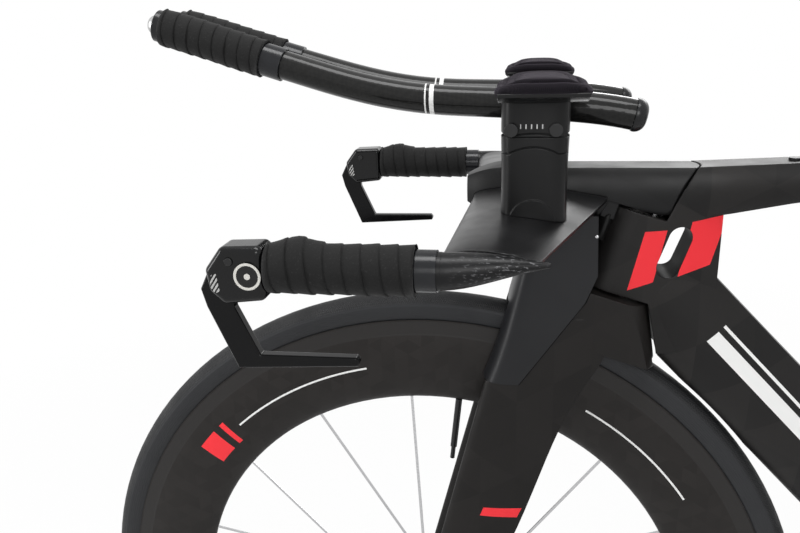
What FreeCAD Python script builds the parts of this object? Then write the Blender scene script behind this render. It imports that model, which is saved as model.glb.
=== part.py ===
"""Time trial bike as an assembly of separate pieces.

Millimetres. X points forward, Y to the rider's left, Z up. The origin lies on the ground, midway between the
two wheel axles. The front end is placed from the steering axis, the wheels from their axles, and the
drivetrain from the bottom bracket, so that one changed size moves everything that depends on it.
"""
import FreeCAD, Part
import math
import os

V = FreeCAD.Vector
X_AXIS = V(1, 0, 0)
Y_AXIS = V(0, 1, 0)
Z_AXIS = V(0, 0, 1)
LEFT, RIGHT = 1, -1
QUARTER = 0.5523        # handle length of a cubic that follows a quarter circle
BLUFF = 0.82            # the same for a boxy, rounded section

SIZES = (
    # wheels
    ("wheelbase", 995), ("bead_radius", 311), ("tyre_height", 25), ("tyre_width", 25),
    ("rim_depth", 78), ("rim_width", 27), ("rim_lip", 1.5), ("brake_track", 12.5),
    ("front_spokes", 16), ("rear_spokes", 20), ("spoke_width", 2.4), ("spoke_thick", 1.0),
    ("spoke_angle", 85.6), ("valve_angle", 96.2), ("valve_length", 62), ("valve_radius", 3),
    ("flange_radius", 17), ("front_flange", 33), ("rear_flange", 30), ("hub_radius", 11),
    ("axle_radius", 5), ("front_spacing", 100), ("rear_spacing", 130), ("dropout_thick", 6),
    ("skewer_radius", 2.5), ("nut_radius", 8.5), ("nut_length", 9),
    # running and seating gaps
    ("bearing_gap", 0.05), ("seat_gap", 0.25), ("turn_gap", 2.5), ("tyre_gap", 8),
    # steering and fork
    ("head_angle", 73), ("fork_rake", 42), ("crown_rise", 37), ("crown_depth", 48),
    ("crown_top_radius", 36), ("crown_foot_radius", 59), ("crown_half_width", 33),
    ("fork_lead", 18), ("fork_sweep", 73.5), ("blade_crown_y", 29.5),
    ("head_length", 68.5), ("head_radius", 23.5), ("steerer_radius", 14.3),
    ("bearing_radius", 20.9), ("bearing_height", 8),
    # nose cover
    ("cover_wall", 2.5), ("cover_drop", 67), ("cover_nose", 54),
    # stem and base bar
    ("stem_height", 35), ("stem_half_width", 21), ("stem_length", 140), ("stem_tail_radius", 28),
    ("bar_half_span", 191.5), ("bar_radius", 11.9), ("bar_drop", 31), ("grip_length", 92),
    ("grip_radius", 16.8), ("grip_wraps", 9), ("band_length", 13), ("band_thick", 1.2),
    ("wing_thick", 18),
    # brake levers
    ("lever_width", 24), ("lever_blade_width", 8), ("pivot_radius", 2.5), ("badge_radius", 9),
    # extensions and arm rests
    ("extension_half_gap", 50), ("toe_in", 28), ("extension_rise", 79.5), ("extension_radius", 11.3),
    ("extension_grip_radius", 15.4), ("extension_wraps", 8), ("clamp_wall", 4), ("riser_length", 46),
    ("riser_rise", 68), ("riser_width", 30),
    ("riser_y", 95), ("clamp_height", 23), ("pad_y", 107), ("pad_width", 78), ("pad_length", 56),
    ("pad_thick", 15), ("cup_thick", 2.5), ("cup_sag", 6), ("button_radius", 8), ("button_travel", 2),
    # frame
    ("down_tube_depth", 80), ("down_tube_width", 38), ("top_tube_width", 38), ("bottom_bracket_drop", 70),
    ("bracket_behind_tyre", 69), ("shell_radius", 24), ("shell_width", 68), ("shell_bore", 20.5),
    ("seat_angle", 78), ("seat_tube_length", 560), ("seat_tube_width", 29), ("post_width", 19),
    ("post_fore", 23), ("post_aft", 21), ("post_top", 688), ("post_depth", 190),
    ("window_radius", 9.4), ("skirt_gap", 0.6), ("joint_width", 0.8), ("joint_depth", 0.8),
    ("frame_tyre_gap", 4), ("boss_radius", 2.5), ("boss_depth", 12), ("bottle_spacing", 64),
    # saddle
    ("saddle_length", 245), ("saddle_width", 136), ("saddle_rise", 42), ("rail_radius", 3.5), ("rail_gap", 22),
    # drivetrain
    ("chain_pitch", 12.7), ("ring_teeth", 53), ("chain_cog", 15), ("pulley_teeth", 11),
    ("chain_line", 46.5), ("cog_spacing", 3.75), ("cog_thick", 1.6), ("ring_thick", 3),
    ("chain_half_width", 2.6), ("plate_thick", 0.8), ("plate_height", 7.4),
    ("spindle_radius", 12), ("crank_length", 172.5), ("crank_width", 12), ("crank_face", 70),
    ("pedal_radius", 7.14), ("cage_length", 66), ("hanger_drop", 28),
    # brakes
    ("arm_thick", 12), ("pad_reach", 306), ("shoe_gap", 1.8), ("front_brake_angle", 16.5),
)

COGS = (11, 12, 13, 14, 15, 17, 19, 21, 23, 25, 28)

doc = FreeCAD.newDocument("time_trial_bike")
sheet = doc.addObject("Spreadsheet::Sheet", "sizes")
for row, (alias, value) in enumerate(SIZES, 1):
    sheet.set(f"A{row}", alias)
    sheet.set(f"B{row}", str(value))
    sheet.setAlias(f"B{row}", alias)
doc.recompute()
NODES = []


def size(alias):
    """The number in the named cell."""
    return float(sheet.get(alias))


# Building blocks

def solid(label, shape):
    """A finished sub-part whose shape is worked out below."""
    thing = doc.addObject("Part::Feature", label)
    thing.Shape = shape
    NODES.append(thing)
    return thing


def keep(thing, label):
    """A finished sub-part made of bound primitives."""
    thing.Label = label
    NODES.append(thing)
    return thing


def primitive(kind, name, start, direction, **sizes):
    """A Part primitive bound to cells, standing on start and pointing along direction."""
    thing = doc.addObject(kind, name)
    for prop, expression in sizes.items():
        thing.setExpression(prop, expression)
    thing.Placement = FreeCAD.Placement(start, FreeCAD.Rotation(Z_AXIS, direction))
    return thing


def joined(name, *things):
    fusion = doc.addObject("Part::MultiFuse", name)
    fusion.Shapes = list(things)
    return fusion


def rod(start, end, radius):
    return Part.makeCylinder(radius, (end - start).Length, start, end - start)


def ring(start, end, outer, inner):
    return rod(start, end, outer).cut(rod(start, end, inner))


def line(a, b):
    return Part.LineSegment(a, b).toShape()


def arc(a, b, c):
    return Part.Arc(a, b, c).toShape()


def cubic(*poles):
    curve = Part.BezierCurve()
    curve.setPoles(list(poles))
    return curve.toShape()


def polygon(points):
    return Part.Face(Part.makePolygon(list(points) + [points[0]]))


def prism_y(points, low, high):
    """A side-view outline of (x, z) points, pulled from y low to y high."""
    face = polygon([V(x, low, z) for x, z in points])
    return face.extrude(V(0, high - low, 0))


def box(x, y, z):
    """A box from three (low, high) pairs."""
    return Part.makeBox(x[1] - x[0], y[1] - y[0], z[1] - z[0], V(x[0], y[0], z[0]))


def oval_wire(centre, ahead, aside, fore, aft, half, handle=QUARTER):
    """A smooth closed section: half axes fore and aft along ahead, half along aside."""
    nose, tail = centre + ahead * fore, centre - ahead * aft
    left, right = centre + aside * half, centre - aside * half
    side = aside * (half * handle)
    front, back = ahead * (fore * handle), ahead * (aft * handle)
    return Part.Wire([
        cubic(nose, nose + side, left + front, left),
        cubic(left, left - back, tail + side, tail),
        cubic(tail, tail - side, right - back, right),
        cubic(right, right + front, nose - side, nose),
    ])


def blade_wire(centre, ahead, aside, fore, aft, half, tail):
    """An aerofoil section with a cut-off tail, tail being half its width there."""
    nose = centre + ahead * fore
    left, right = centre + aside * half, centre - aside * half
    end_left, end_right = centre - ahead * aft + aside * tail, centre - ahead * aft - aside * tail
    side, front = aside * (half * QUARTER), ahead * (fore * QUARTER)
    run, ease = ahead * (aft * 0.45), ahead * (aft * 0.3) + aside * ((half - tail) * 0.4)
    ease_right = ahead * (aft * 0.3) - aside * ((half - tail) * 0.4)
    return Part.Wire([
        cubic(nose, nose + side, left + front, left),
        cubic(left, left - run, end_left + ease, end_left),
        line(end_left, end_right),
        cubic(end_right, end_right + ease_right, right - run, right),
        cubic(right, right + front, nose - side, nose),
    ])


def box_wire(x, low, high, top, middle, foot):
    """A section square to X with a flat top and bottom and bowed sides, from half widths."""
    tall = high - low
    a, b = V(x, -top, high), V(x, top, high)
    c, d = V(x, foot, low), V(x, -foot, low)
    swell = V(0, middle * 1.12, 0)
    upper, lower = V(x, 0, high - 0.28 * tall), V(x, 0, low + 0.25 * tall)
    return Part.Wire([line(a, b), cubic(b, upper + swell, lower + swell, c), line(c, d),
                      cubic(d, lower - swell, upper - swell, a)])


def loft(wires, ruled=False):
    return Part.makeLoft(wires, True, ruled, False, 3)


def mirrored(shape):
    return shape.mirror(V(0, 0, 0), Y_AXIS)


def union(shapes):
    return shapes[0].multiFuse(shapes[1:]).removeSplitter()


# Reference points

tyre_radius = size("bead_radius") + size("tyre_height")
flange = size("bead_radius") + size("rim_lip")
rim_tip = flange - size("rim_depth")
front_axle = V(size("wheelbase") / 2, 0, tyre_radius)
rear_axle = V(-size("wheelbase") / 2, 0, tyre_radius)

lean = math.radians(size("head_angle"))
UP = V(-math.cos(lean), 0, math.sin(lean))
AHEAD = V(math.sin(lean), 0, math.cos(lean))
axis_foot = front_axle - AHEAD * size("fork_rake")
crown_top = tyre_radius + size("crown_rise")
crown_foot = crown_top - size("crown_depth")
head_low = crown_top + size("turn_gap")
head_high = head_low + size("head_length")
stem_low = head_high + size("turn_gap")


def steer(along, ahead=0.0, left=0.0):
    """A point by its height along the steering axis and its distance ahead of it."""
    return axis_foot + UP * along + AHEAD * ahead + V(0, left, 0)


head_point = steer(head_high)

bracket_back = math.sqrt((tyre_radius + size("bracket_behind_tyre")) ** 2 - size("bottom_bracket_drop") ** 2)
bracket = V(rear_axle.x + bracket_back, 0, tyre_radius - size("bottom_bracket_drop"))
slope = math.radians(size("seat_angle"))
SEAT_UP = V(-math.cos(slope), 0, math.sin(slope))
SEAT_AHEAD = V(math.sin(slope), 0, math.cos(slope))


# Wheels

def turned(axle, edges):
    """A full turn of a section drawn in the (y, radius) plane of an axle."""
    face = Part.Face(Part.Wire(edges))
    return face.revolve(axle, Y_AXIS, 360)


def wheel_points(axle, pairs):
    return [V(axle.x, y, axle.z + r) for y, r in pairs]


def tyre(label, axle):
    half = size("tyre_width") / 2
    seat = size("rim_width") / 2 - 4.3
    shoulder = tyre_radius - 0.42 * size("tyre_height")
    waist = (flange + shoulder) / 2
    foot, bulge, side, crown = wheel_points(axle, (
        (seat, flange), (half * 0.95, waist), (half * 0.99, shoulder), (0, tyre_radius)))
    foot_r, bulge_r, side_r = wheel_points(axle, (
        (-seat, flange), (-half * 0.95, waist), (-half * 0.99, shoulder)))
    return solid(label, turned(axle, [
        arc(foot, bulge, side), arc(side, crown, side_r), arc(side_r, bulge_r, foot_r), line(foot_r, foot)]))


def rim(label, axle):
    lip, track = size("rim_width") / 2 - 3.2, size("rim_width") / 2 - 2.2
    low = flange - size("brake_track")
    swell, toe = size("rim_width") * 0.6, size("rim_width") * 0.42
    belly = flange - 0.48 * size("rim_depth")

    def side(s):
        return wheel_points(axle, ((s * lip, flange), (s * track, low), (s * swell, belly), (s * toe, rim_tip)))

    tip = wheel_points(axle, ((0, rim_tip),))[0]
    left, right = side(1), side(-1)
    return solid(label, turned(axle, [
        line(right[0], left[0]), line(left[0], left[1]), cubic(left[1], left[2], left[3], tip),
        cubic(tip, right[3], right[2], right[1]), line(right[1], right[0])]))


def hub(label, axle, left_flange, right_flange, left_end, right_end):
    """Turned shell with two spoke flanges, running on the axle with a small gap."""
    bore = size("axle_radius") + size("bearing_gap")
    body, rim_r = size("hub_radius"), size("flange_radius")
    points = [
        (left_end, bore), (left_end, body - 1), (left_flange + 3, body), (left_flange + 2, rim_r),
        (left_flange - 2, rim_r), (left_flange - 5, body), (-right_flange + 5, body), (-right_flange + 2, rim_r),
        (-right_flange - 2, rim_r), (-right_flange - 3, body), (-right_end, body - 1), (-right_end, bore)]
    corners = wheel_points(axle, points)
    edges = [line(a, b) for a, b in zip(corners, corners[1:] + corners[:1])]
    return solid(label, turned(axle, edges))


def spokes(label, axle, count, left_flange, right_flange):
    """Flat radial spokes, every other one to each flange."""
    wide, thick, gap = size("spoke_width"), size("spoke_thick"), size("seat_gap")
    blades = []
    for i in range(int(count)):
        side = left_flange if i % 2 == 0 else -right_flange
        start = V(size("flange_radius") + gap, side, 0)
        end = V(rim_tip - gap, side * 0.03, 0)
        run = end - start
        blade = Part.makeBox(run.Length, thick, wide, V(0, -thick / 2, -wide / 2))
        blade.Placement = FreeCAD.Placement(start, FreeCAD.Rotation(X_AXIS, run))
        angle = size("spoke_angle") + 360.0 * i / count
        blade.rotate(V(0, 0, 0), Y_AXIS, -angle)
        blade.translate(axle)
        blades.append(blade)
    return solid(label, Part.makeCompound(blades))


def valve(label, axle):
    """Valve extender that points from the rim's inner edge to the hub."""
    gap, radius, length = size("seat_gap"), size("valve_radius"), size("valve_length")
    stem = rod(V(rim_tip - gap, 0, 0), V(rim_tip - 0.8 * length, 0, 0), radius)
    neck = rod(V(rim_tip - 0.8 * length, 0, 0), V(rim_tip - length, 0, 0), radius * 0.7)
    shape = stem.fuse(neck)
    shape.rotate(V(0, 0, 0), Y_AXIS, -size("valve_angle"))
    shape.translate(axle)
    return solid(label, shape)


def axle_and_skewer(prefix, axle, spacing_cell, left_end, right_end):
    """Fixed axle with its lock nuts, and the skewer through it with a nut outside each dropout."""
    half = size(spacing_cell) / 2
    reach = half + size("dropout_thick") - 0.5
    bore = size("skewer_radius") + size("bearing_gap")
    tube = rod(axle - V(0, reach, 0), axle + V(0, reach, 0), size("axle_radius"))
    nuts = [rod(axle + V(0, left_end, 0), axle + V(0, half, 0), size("hub_radius") - 2),
            rod(axle - V(0, half, 0), axle - V(0, right_end, 0), size("hub_radius") - 2)]
    through = rod(axle - V(0, 2 * half, 0), axle + V(0, 2 * half, 0), bore)
    sleeve_part = doc.addObject("Part::Feature", prefix + "_axle_sleeve")
    sleeve_part.Shape = union([tube] + nuts).cut(through)
    outside = half + size("dropout_thick")
    parts = [sleeve_part]
    for side in (LEFT, RIGHT):
        parts.append(primitive(
            "Part::Cylinder", f"{prefix}_skewer_nut_{side + 2}", axle + V(0, side * outside, 0), Y_AXIS * side,
            Radius="sizes.nut_radius", Height="sizes.nut_length"))
    parts.append(primitive(
        "Part::Cylinder", prefix + "_skewer_shaft", axle - V(0, outside + 1, 0), Y_AXIS,
        Radius="sizes.skewer_radius", Height=f"sizes.{spacing_cell} + 2 * sizes.dropout_thick + 2"))
    keep(joined(prefix + "_axle_parts", *parts), prefix + "_axle")


front_end = size("front_spacing") / 2 - 4
cassette_room = 42.0
tyre("front_tyre", front_axle)
rim("front_rim", front_axle)
hub("front_hub", front_axle, size("front_flange"), size("front_flange"), front_end, front_end)
spokes("front_spokes_set", front_axle, size("front_spokes"), size("front_flange"), size("front_flange"))
valve("front_valve", front_axle)
axle_and_skewer("front", front_axle, "front_spacing", front_end + size("seat_gap"), front_end + size("seat_gap"))

rear_left_end = size("rear_spacing") / 2 - 4
rear_right_end = size("rear_spacing") / 2 - cassette_room
rear_right_flange = rear_right_end - 7
tyre("rear_tyre", rear_axle)
rim("rear_rim", rear_axle)
hub("rear_hub", rear_axle, size("rear_flange"), rear_right_flange, rear_left_end, rear_right_end)
spokes("rear_spokes_set", rear_axle, size("rear_spokes"), size("rear_flange"), rear_right_flange)
valve("rear_valve", rear_axle)
rear_nut = size("rear_spacing") / 2 - 3.5 + size("seat_gap")
axle_and_skewer("rear", rear_axle, "rear_spacing", rear_left_end + size("seat_gap"), rear_nut)


# Nose cover, fork and stem

cover_foot = 2 * tyre_radius - size("cover_drop")
COVER_EDGE = ((-78.5, -20), (-78.5, 0), (-99.5, 29), (-130.5, 72), (-139.5, 94), (-136.5, 190))


def ahead_of_edge(gap):
    """All the room ahead of the cover's rear edge, which slants down to the fork's leading edge."""
    edge = [(front_axle.x + x - gap, cover_foot + z) for x, z in COVER_EDGE]
    far = front_axle.x + 60
    return prism_y(edge + [(far, edge[-1][1]), (far, edge[0][1])], -90, 90)


def cover_zone(grow, back_gap):
    """The nose over the front brake, without its hollow, grown by a gap all round and another at its rear edge."""
    top = head_point.z - 1.0
    foot_z = cover_foot
    nose_x = front_axle.x - size("cover_nose")
    wires = []
    for share, half, push in ((0.0, 41.0, 6.5), (0.35, 36.0, -10.0), (0.67, 31.5, -21.5), (1.0, 28.5, -34.0)):
        z = foot_z + (top - foot_z) * share
        nose = V(nose_x + push + grow, 0, z)
        half = half + grow
        flank = V(nose.x - half * 0.6, half, z)
        flank_r = V(nose.x - half * 0.6, -half, z)
        back = V(nose_x - 110, half, z)
        back_r = V(nose_x - 110, -half, z)
        lean_in, push_out = V(half * 0.6 * BLUFF, 0, 0), V(0, half * 0.9, 0)
        wires.append(Part.Wire([
            cubic(nose, nose + push_out, flank + lean_in, flank), line(flank, back), line(back, back_r),
            line(back_r, flank_r), cubic(flank_r, flank_r + lean_in, nose - push_out, nose)]))
    return loft(wires).common(ahead_of_edge(back_gap))


def wheel_space(gap, half):
    """Room for the front tyre under the fork crown."""
    middle = front_axle
    return rod(middle - V(0, half, 0), middle + V(0, half, 0), tyre_radius + gap)


def crown_cone(grow):
    """The crown, a cone about the steering axis so that it can turn under the down tube."""
    low, high = crown_foot - 12 * (grow > 0), crown_top + grow
    foot, top = size("crown_foot_radius") + grow, size("crown_top_radius") + grow
    spread = (foot - top) / (crown_top - crown_foot)
    wide = top + spread * (high - low)
    return Part.makeCone(wide, top, high - low, steer(low), UP)


STATIONS = (
    # share of the leg, chord, half thickness
    (1.13, 92, 8.5), (1.0, 90, 8.5), (0.795, 74, 8.5), (0.667, 70, 8.0), (0.45, 64, 7.5), (0.22, 50, 6.0),
    (0.03, 30, 3.4))


def fork_blade(side):
    leg = tyre_radius - 47
    tip_y = size("front_spacing") / 2 + size("dropout_thick") / 2
    wires = []
    for share, chord, half in STATIONS:
        lead = size("fork_lead") - size("fork_sweep") * share
        y = tip_y + (size("blade_crown_y") - tip_y) * share
        fore = chord * 0.38
        centre = front_axle + V(lead - fore, side * y, leg * share)
        wires.append(blade_wire(centre, X_AXIS, Y_AXIS, fore, chord - fore, half, half * 0.35))
    return loft(wires)


def dropout(axle, side, spacing, radius):
    """Flat end that takes the axle in a slot open to the ground."""
    inner = axle + V(0, side * spacing / 2, 0)
    outer = inner + V(0, side * size("dropout_thick"), 0)
    disc = rod(inner, outer, radius)
    hole = size("axle_radius") + size("bearing_gap")
    slot = box((axle.x - hole, axle.x + hole), (-spacing, spacing), (axle.z - 2 * radius, axle.z))
    return disc, rod(inner - V(0, side * 30, 0), outer + V(0, side * 30, 0), hole).fuse(slot)


def nut_room(axle, spacing):
    """Room for the skewer's nuts outside both dropouts."""
    outside = spacing / 2 + size("dropout_thick")
    return Part.makeCompound([rod(axle + V(0, s * outside, 0), axle + V(0, s * (outside + 30), 0),
                                  size("nut_radius") + 3) for s in (LEFT, RIGHT)])


BRAKE_POST = 19.0
brake_post = tyre_radius + 14
tilt = math.radians(size("front_brake_angle"))
FRONT_OUT = V(-math.sin(tilt), 0, math.cos(tilt))
FRONT_ALONG = V(math.cos(tilt), 0, math.sin(tilt))


def fork():
    crown = crown_cone(0).common(box((0, 1000), (-size("crown_half_width"), size("crown_half_width")), (0, 2000)))
    steerer = rod(steer(crown_top - 6), steer(stem_low + size("stem_height") * 0.7), size("steerer_radius"))
    shape = union([crown, fork_blade(LEFT), fork_blade(RIGHT)])
    shape = shape.cut(wheel_space(size("tyre_gap"), size("tyre_width") / 2 + 6))
    above_foot = box((0, 2000), (-90, 90), (cover_foot - 0.4, 2000))
    shape = shape.cut(ahead_of_edge(0.6).common(above_foot))
    slots = []
    for side in (LEFT, RIGHT):
        disc, slot = dropout(front_axle, side, size("front_spacing"), 15)
        shape = shape.fuse(disc)
        slots.append(slot)
    posts = []
    for side in (LEFT, RIGHT):
        foot = front_axle + FRONT_OUT * brake_post + V(0, side * BRAKE_POST, 0)
        posts.append(rod(foot - FRONT_ALONG * 34, foot + FRONT_ALONG * 11, 3))
    half = size("front_spacing") / 2
    nuts = rod(front_axle - V(0, half, 0), front_axle + V(0, half, 0), size("hub_radius") + 3)
    shape = shape.multiFuse([steerer] + posts).cut(slots[0]).cut(slots[1]).cut(nuts)
    return shape.cut(nut_room(front_axle, size("front_spacing")))


fork_shape = fork()
solid("fork", fork_shape)


def base_bar():
    """Flat wing from side to side whose ends become round handles that point forward."""
    middle_z = head_point.z + 12
    half = size("wing_thick") / 2
    span = size("bar_half_span")
    lead_x = front_axle.x - 40
    sections = []
    for y, lead, chord, rise in (
            (-span + 5, 9, 60, -3.5), (-28, 0, 104, 0), (28, 0, 104, 0), (span - 5, 9, 60, -3.5)):
        fore = chord * 0.36
        thick = half * (0.62 + 0.38 * chord / 104)
        centre = V(lead_x + lead - fore, y, middle_z + rise)
        sections.append(blade_wire(centre, X_AXIS, Z_AXIS, fore, chord - fore, thick, 1.0))
    wing = loft(sections, True)
    handles = []
    for side in (LEFT, RIGHT):
        rings = []
        for ahead, rise, share in (
                (-97, 5.0, 0.12), (-84, 4.6, 0.34), (-66, 3.2, 0.66), (-48, 1.2, 0.9), (-29, 0, 0.975)):
            centre = V(front_axle.x + ahead, side * span, bar_z + rise)
            rings.append(oval_wire(centre, Z_AXIS, Y_AXIS, *([size("bar_radius") * share] * 3)))
        handles.append(loft(rings))
        start = V(front_axle.x - 33, side * span, bar_z)
        handles.append(rod(start, V(hood_back - 0.3, side * span, bar_z), size("bar_radius")))
    return union([wing] + handles)


bar_z = head_point.z + size("stem_height") - size("bar_drop")
hood_back = front_axle.x + 75
base_bar_shape = base_bar()
solid("base_bar", base_bar_shape)

stem_top = head_point.z + size("stem_height")


def stem():
    """Boxy, rounded stem whose tail is turned about the steering axis."""
    half, tall = size("stem_half_width"), size("stem_height")
    tail_x = head_point.x - 50
    nose_x = head_point.x + size("stem_length") - 4
    low, high = stem_top - tall - 2, stem_top
    run = size("stem_length") + 26
    bend_x = nose_x - 0.3 * run
    body = loft([box_wire(x, low, high, half * 0.74, half, half * 0.86) for x in (tail_x, bend_x)], True)
    sections = [box_wire(bend_x, low, high, half * 0.74, half, half * 0.86)]
    for short, wide, drop in ((0.1, 0.93, 1.5), (0.0, 0.5, 8.0)):
        x = nose_x - run * short
        sections.append(box_wire(x, low + drop, high - drop, half * 0.7 * wide, half * wide, half * 0.8 * wide))
    shape = body.fuse(loft(sections))
    top = stem_low + 90
    tail = Part.makeCone(size("stem_tail_radius"), size("stem_tail_radius") + 8, top - stem_low + 20,
                         steer(stem_low - 20), UP)
    reach = 200.0
    behind = Part.makeBox(reach, reach, reach, V(-reach, -reach / 2, -reach / 2))
    behind.Placement = FreeCAD.Placement(steer(stem_low), FreeCAD.Rotation(Z_AXIS, UP))
    shape = shape.cut(behind.cut(tail))
    shape = shape.cut(rod(steer(stem_low - 60), steer(stem_low), 34))
    hole = size("head_radius") * 1.02 + size("skirt_gap")
    skirt = ring(steer(stem_low - 14), steer(stem_low + 2), 33, hole).cut(behind)
    shape = shape.fuse(skirt.common(Part.makeBox(200, 36, 200, V(head_point.x, -18, stem_top - 100))))
    bore = rod(steer(stem_low - 60), steer(stem_low + tall * 0.7 + size("seat_gap")),
               size("steerer_radius") + size("bearing_gap"))
    return shape.cut(bore).cut(base_bar_shape)


stem_shape = stem()
solid("stem", stem_shape)


def nose_cover():
    hollow = cover_zone(-size("cover_wall"), 60)
    hollow.translate(V(0, 0, -2 * size("cover_wall")))
    shape = cover_zone(0, 0).cut(hollow)
    shape = shape.cut(wheel_space(size("tyre_gap") - 2, size("tyre_width") / 2 + 6.5))
    shape = shape.cut(rod(steer(head_low - 40), steer(stem_low + 5), size("head_radius") + 3))
    return shape.cut(stem_shape).cut(base_bar_shape)


solid("nose_cover", nose_cover())


# Frame

def head_fairing():
    """Slim head tube: round about the steering axis, drawn out to a tail behind it."""
    tail_x = front_axle.x - 234.5
    wires = []
    for along in (crown_foot - 6, (head_low + head_high) / 2, head_high + 20):
        centre = steer(along)
        wires.append(blade_wire(centre, X_AXIS, Y_AXIS, size("head_radius") * 1.02, centre.x - tail_x,
                                size("head_radius"), 11))
    return loft(wires)


down_top = V(front_axle.x - 187.5, 0, tyre_radius + 348)
down_low = bracket + V(0, 0, -4)


def down_tube():
    run = down_top - down_low
    along = V(run).normalize()
    front = V(along.z, 0, -along.x)
    depth, half = size("down_tube_depth") / 2, size("down_tube_width") / 2
    wires = []
    for share, deep, wide in ((0.02, 0.8, 1.1), (0.3, 0.98, 0.92), (0.65, 1.0, 0.95), (1.0, 1.0, 1.1)):
        centre = down_low + run * share
        wires.append(blade_wire(centre, front, Y_AXIS, depth * deep, depth * deep, half * wide, half * 0.45))
    return loft(wires)


def top_tube():
    half = size("top_tube_width") / 2
    start_x, end_x = front_axle.x - 190, bracket.x - 104
    wires = []
    for share, rise, deep, wide in ((0.0, 34.5, 41, 1.05), (0.088, 36.3, 38.5, 1.02), (0.19, 38.5, 31, 0.96),
                                    (0.4, 43.5, 28.5, 0.9), (1.0, 57, 30, 0.78)):
        x = start_x + (end_x - start_x) * share
        high = head_point.z + rise
        wires.append(box_wire(x, high - deep, high, half * 0.78 * wide, half * wide, half * 0.7 * wide))
    return loft(wires)


def seat_tube():
    half = size("seat_tube_width") / 2
    wires = []
    for share, fore, aft in ((0.0, 28, 28), (0.2, 29, 33), (0.6, 28, 28), (1.0, 27, 26)):
        centre = bracket + SEAT_UP * (size("seat_tube_length") * share)
        wires.append(blade_wire(centre, SEAT_AHEAD, Y_AXIS, fore, aft, half, half * 0.5))
    return loft(wires)


def post_prism(low, high, grow):
    centre = bracket + SEAT_UP * low
    wire = blade_wire(centre, SEAT_AHEAD, Y_AXIS, size("post_fore") + grow, size("post_aft") + grow,
                      size("post_width") / 2 + grow, size("post_width") / 5 + grow)
    return Part.Face(wire).extrude(SEAT_UP * (high - low))


def boss_holes():
    """Threaded bosses: a bottle on the down tube, a box on the top tube."""
    run = V(down_top - down_low).normalize()
    out = V(-run.z, 0, run.x)
    middle = down_low + run * 250
    holes = []
    for step in (-0.5, 0.5):
        face = middle + run * (size("bottle_spacing") * step) + out * (size("down_tube_depth") / 2)
        holes.append((face - out * size("boss_depth"), face + out * 10))
    return holes


def frame():
    shell = rod(bracket - V(0, size("shell_width") / 2, 0), bracket + V(0, size("shell_width") / 2, 0),
                size("shell_radius"))
    shape = union([head_fairing(), top_tube(), down_tube(), seat_tube(), shell])
    shape = shape.cut(wheel_space(size("frame_tyre_gap"), 60))
    shape = shape.cut(crown_cone(size("turn_gap")))
    above = Part.makeCone(size("stem_tail_radius") + size("turn_gap"), size("stem_tail_radius") + size("turn_gap")
                          + 8, 110, steer(head_high), UP)
    shape = shape.cut(above)
    ahead = box((front_axle.x - 160, front_axle.x), (-90, 90), (head_point.z + 12, head_point.z + 90))
    shape = shape.cut(ahead)
    shape = shape.cut(rod(steer(head_low - 9), steer(head_high + 9), size("steerer_radius") + 2))
    seat = size("bearing_radius") + size("bearing_gap")
    shape = shape.cut(rod(steer(head_low - 9), steer(head_low + size("bearing_height")), seat))
    shape = shape.cut(rod(steer(head_high - size("bearing_height")), steer(head_high + 9), seat))
    shape = shape.cut(rod(bracket - V(0, 60, 0), bracket + V(0, 60, 0), size("shell_bore")))
    top = size("seat_tube_length")
    shape = shape.cut(post_prism(top - size("post_depth") - 10, top + 60, size("bearing_gap") * 2))
    low, high = V(front_axle.x - 194.5, 0, head_point.z - 44), V(front_axle.x - 202.5, 0, head_point.z - 20.5)
    radius = size("window_radius")
    run = (high - low)
    across = V(run.z, 0, -run.x).normalize() * radius
    tall = V(run).normalize() * radius
    outline = Part.Wire([
        line(low + across, high + across), arc(high + across, high + tall, high - across),
        line(high - across, low - across), arc(low - across, low - tall, low + across)])
    outline.translate(V(0, -60, 0))
    shape = shape.cut(Part.Face(outline).extrude(V(0, 120, 0)))
    for start, end in boss_holes():
        shape = shape.cut(rod(start, end, size("boss_radius")))
    return shape


frame_shape = frame()
solid("frame", frame_shape)


def bearing_rings():
    inner = size("steerer_radius") + size("bearing_gap")
    rings = []
    for low in (head_low, head_high - size("bearing_height")):
        rings.append(ring(steer(low), steer(low + size("bearing_height")), size("bearing_radius"), inner))
    return Part.makeCompound(rings)


solid("headset_bearings", bearing_rings())


def stay_loft(stations, side):
    wires = []
    for x, y, z, half, tall in stations:
        wires.append(oval_wire(V(x, side * y, z), Z_AXIS, Y_AXIS, tall, tall, half))
    return loft(wires)


rear_half = V(0, size("rear_spacing") / 2, 0)
rear_nut_room = nut_room(rear_axle, size("rear_spacing"))
rear_nuts = rod(rear_axle - rear_half, rear_axle + rear_half, size("hub_radius") + 5)


def chainstay(side):
    y_end = size("rear_spacing") / 2 + size("dropout_thick") / 2
    stations = (
        (bracket.x - 6, 22, bracket.z + 2, 9, 19), (bracket.x - 70, 26.5, bracket.z + 12, 7.5, 18),
        (bracket.x - 130, 29, bracket.z + 22, 7.5, 16), (bracket.x - 230, 47, bracket.z + 40, 7, 13),
        (rear_axle.x + 66, y_end + 1, rear_axle.z - 9, 4, 11), (rear_axle.x + 6, y_end, rear_axle.z, 3, 12))
    shape = stay_loft(stations, side)
    disc, slot = dropout(rear_axle, side, size("rear_spacing"), 16)
    shell = rod(bracket - V(0, 60, 0), bracket + V(0, 60, 0), size("shell_radius"))
    return shape.fuse(disc).cut(slot).cut(frame_shape).cut(shell).cut(rear_nuts).cut(rear_nut_room)


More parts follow.
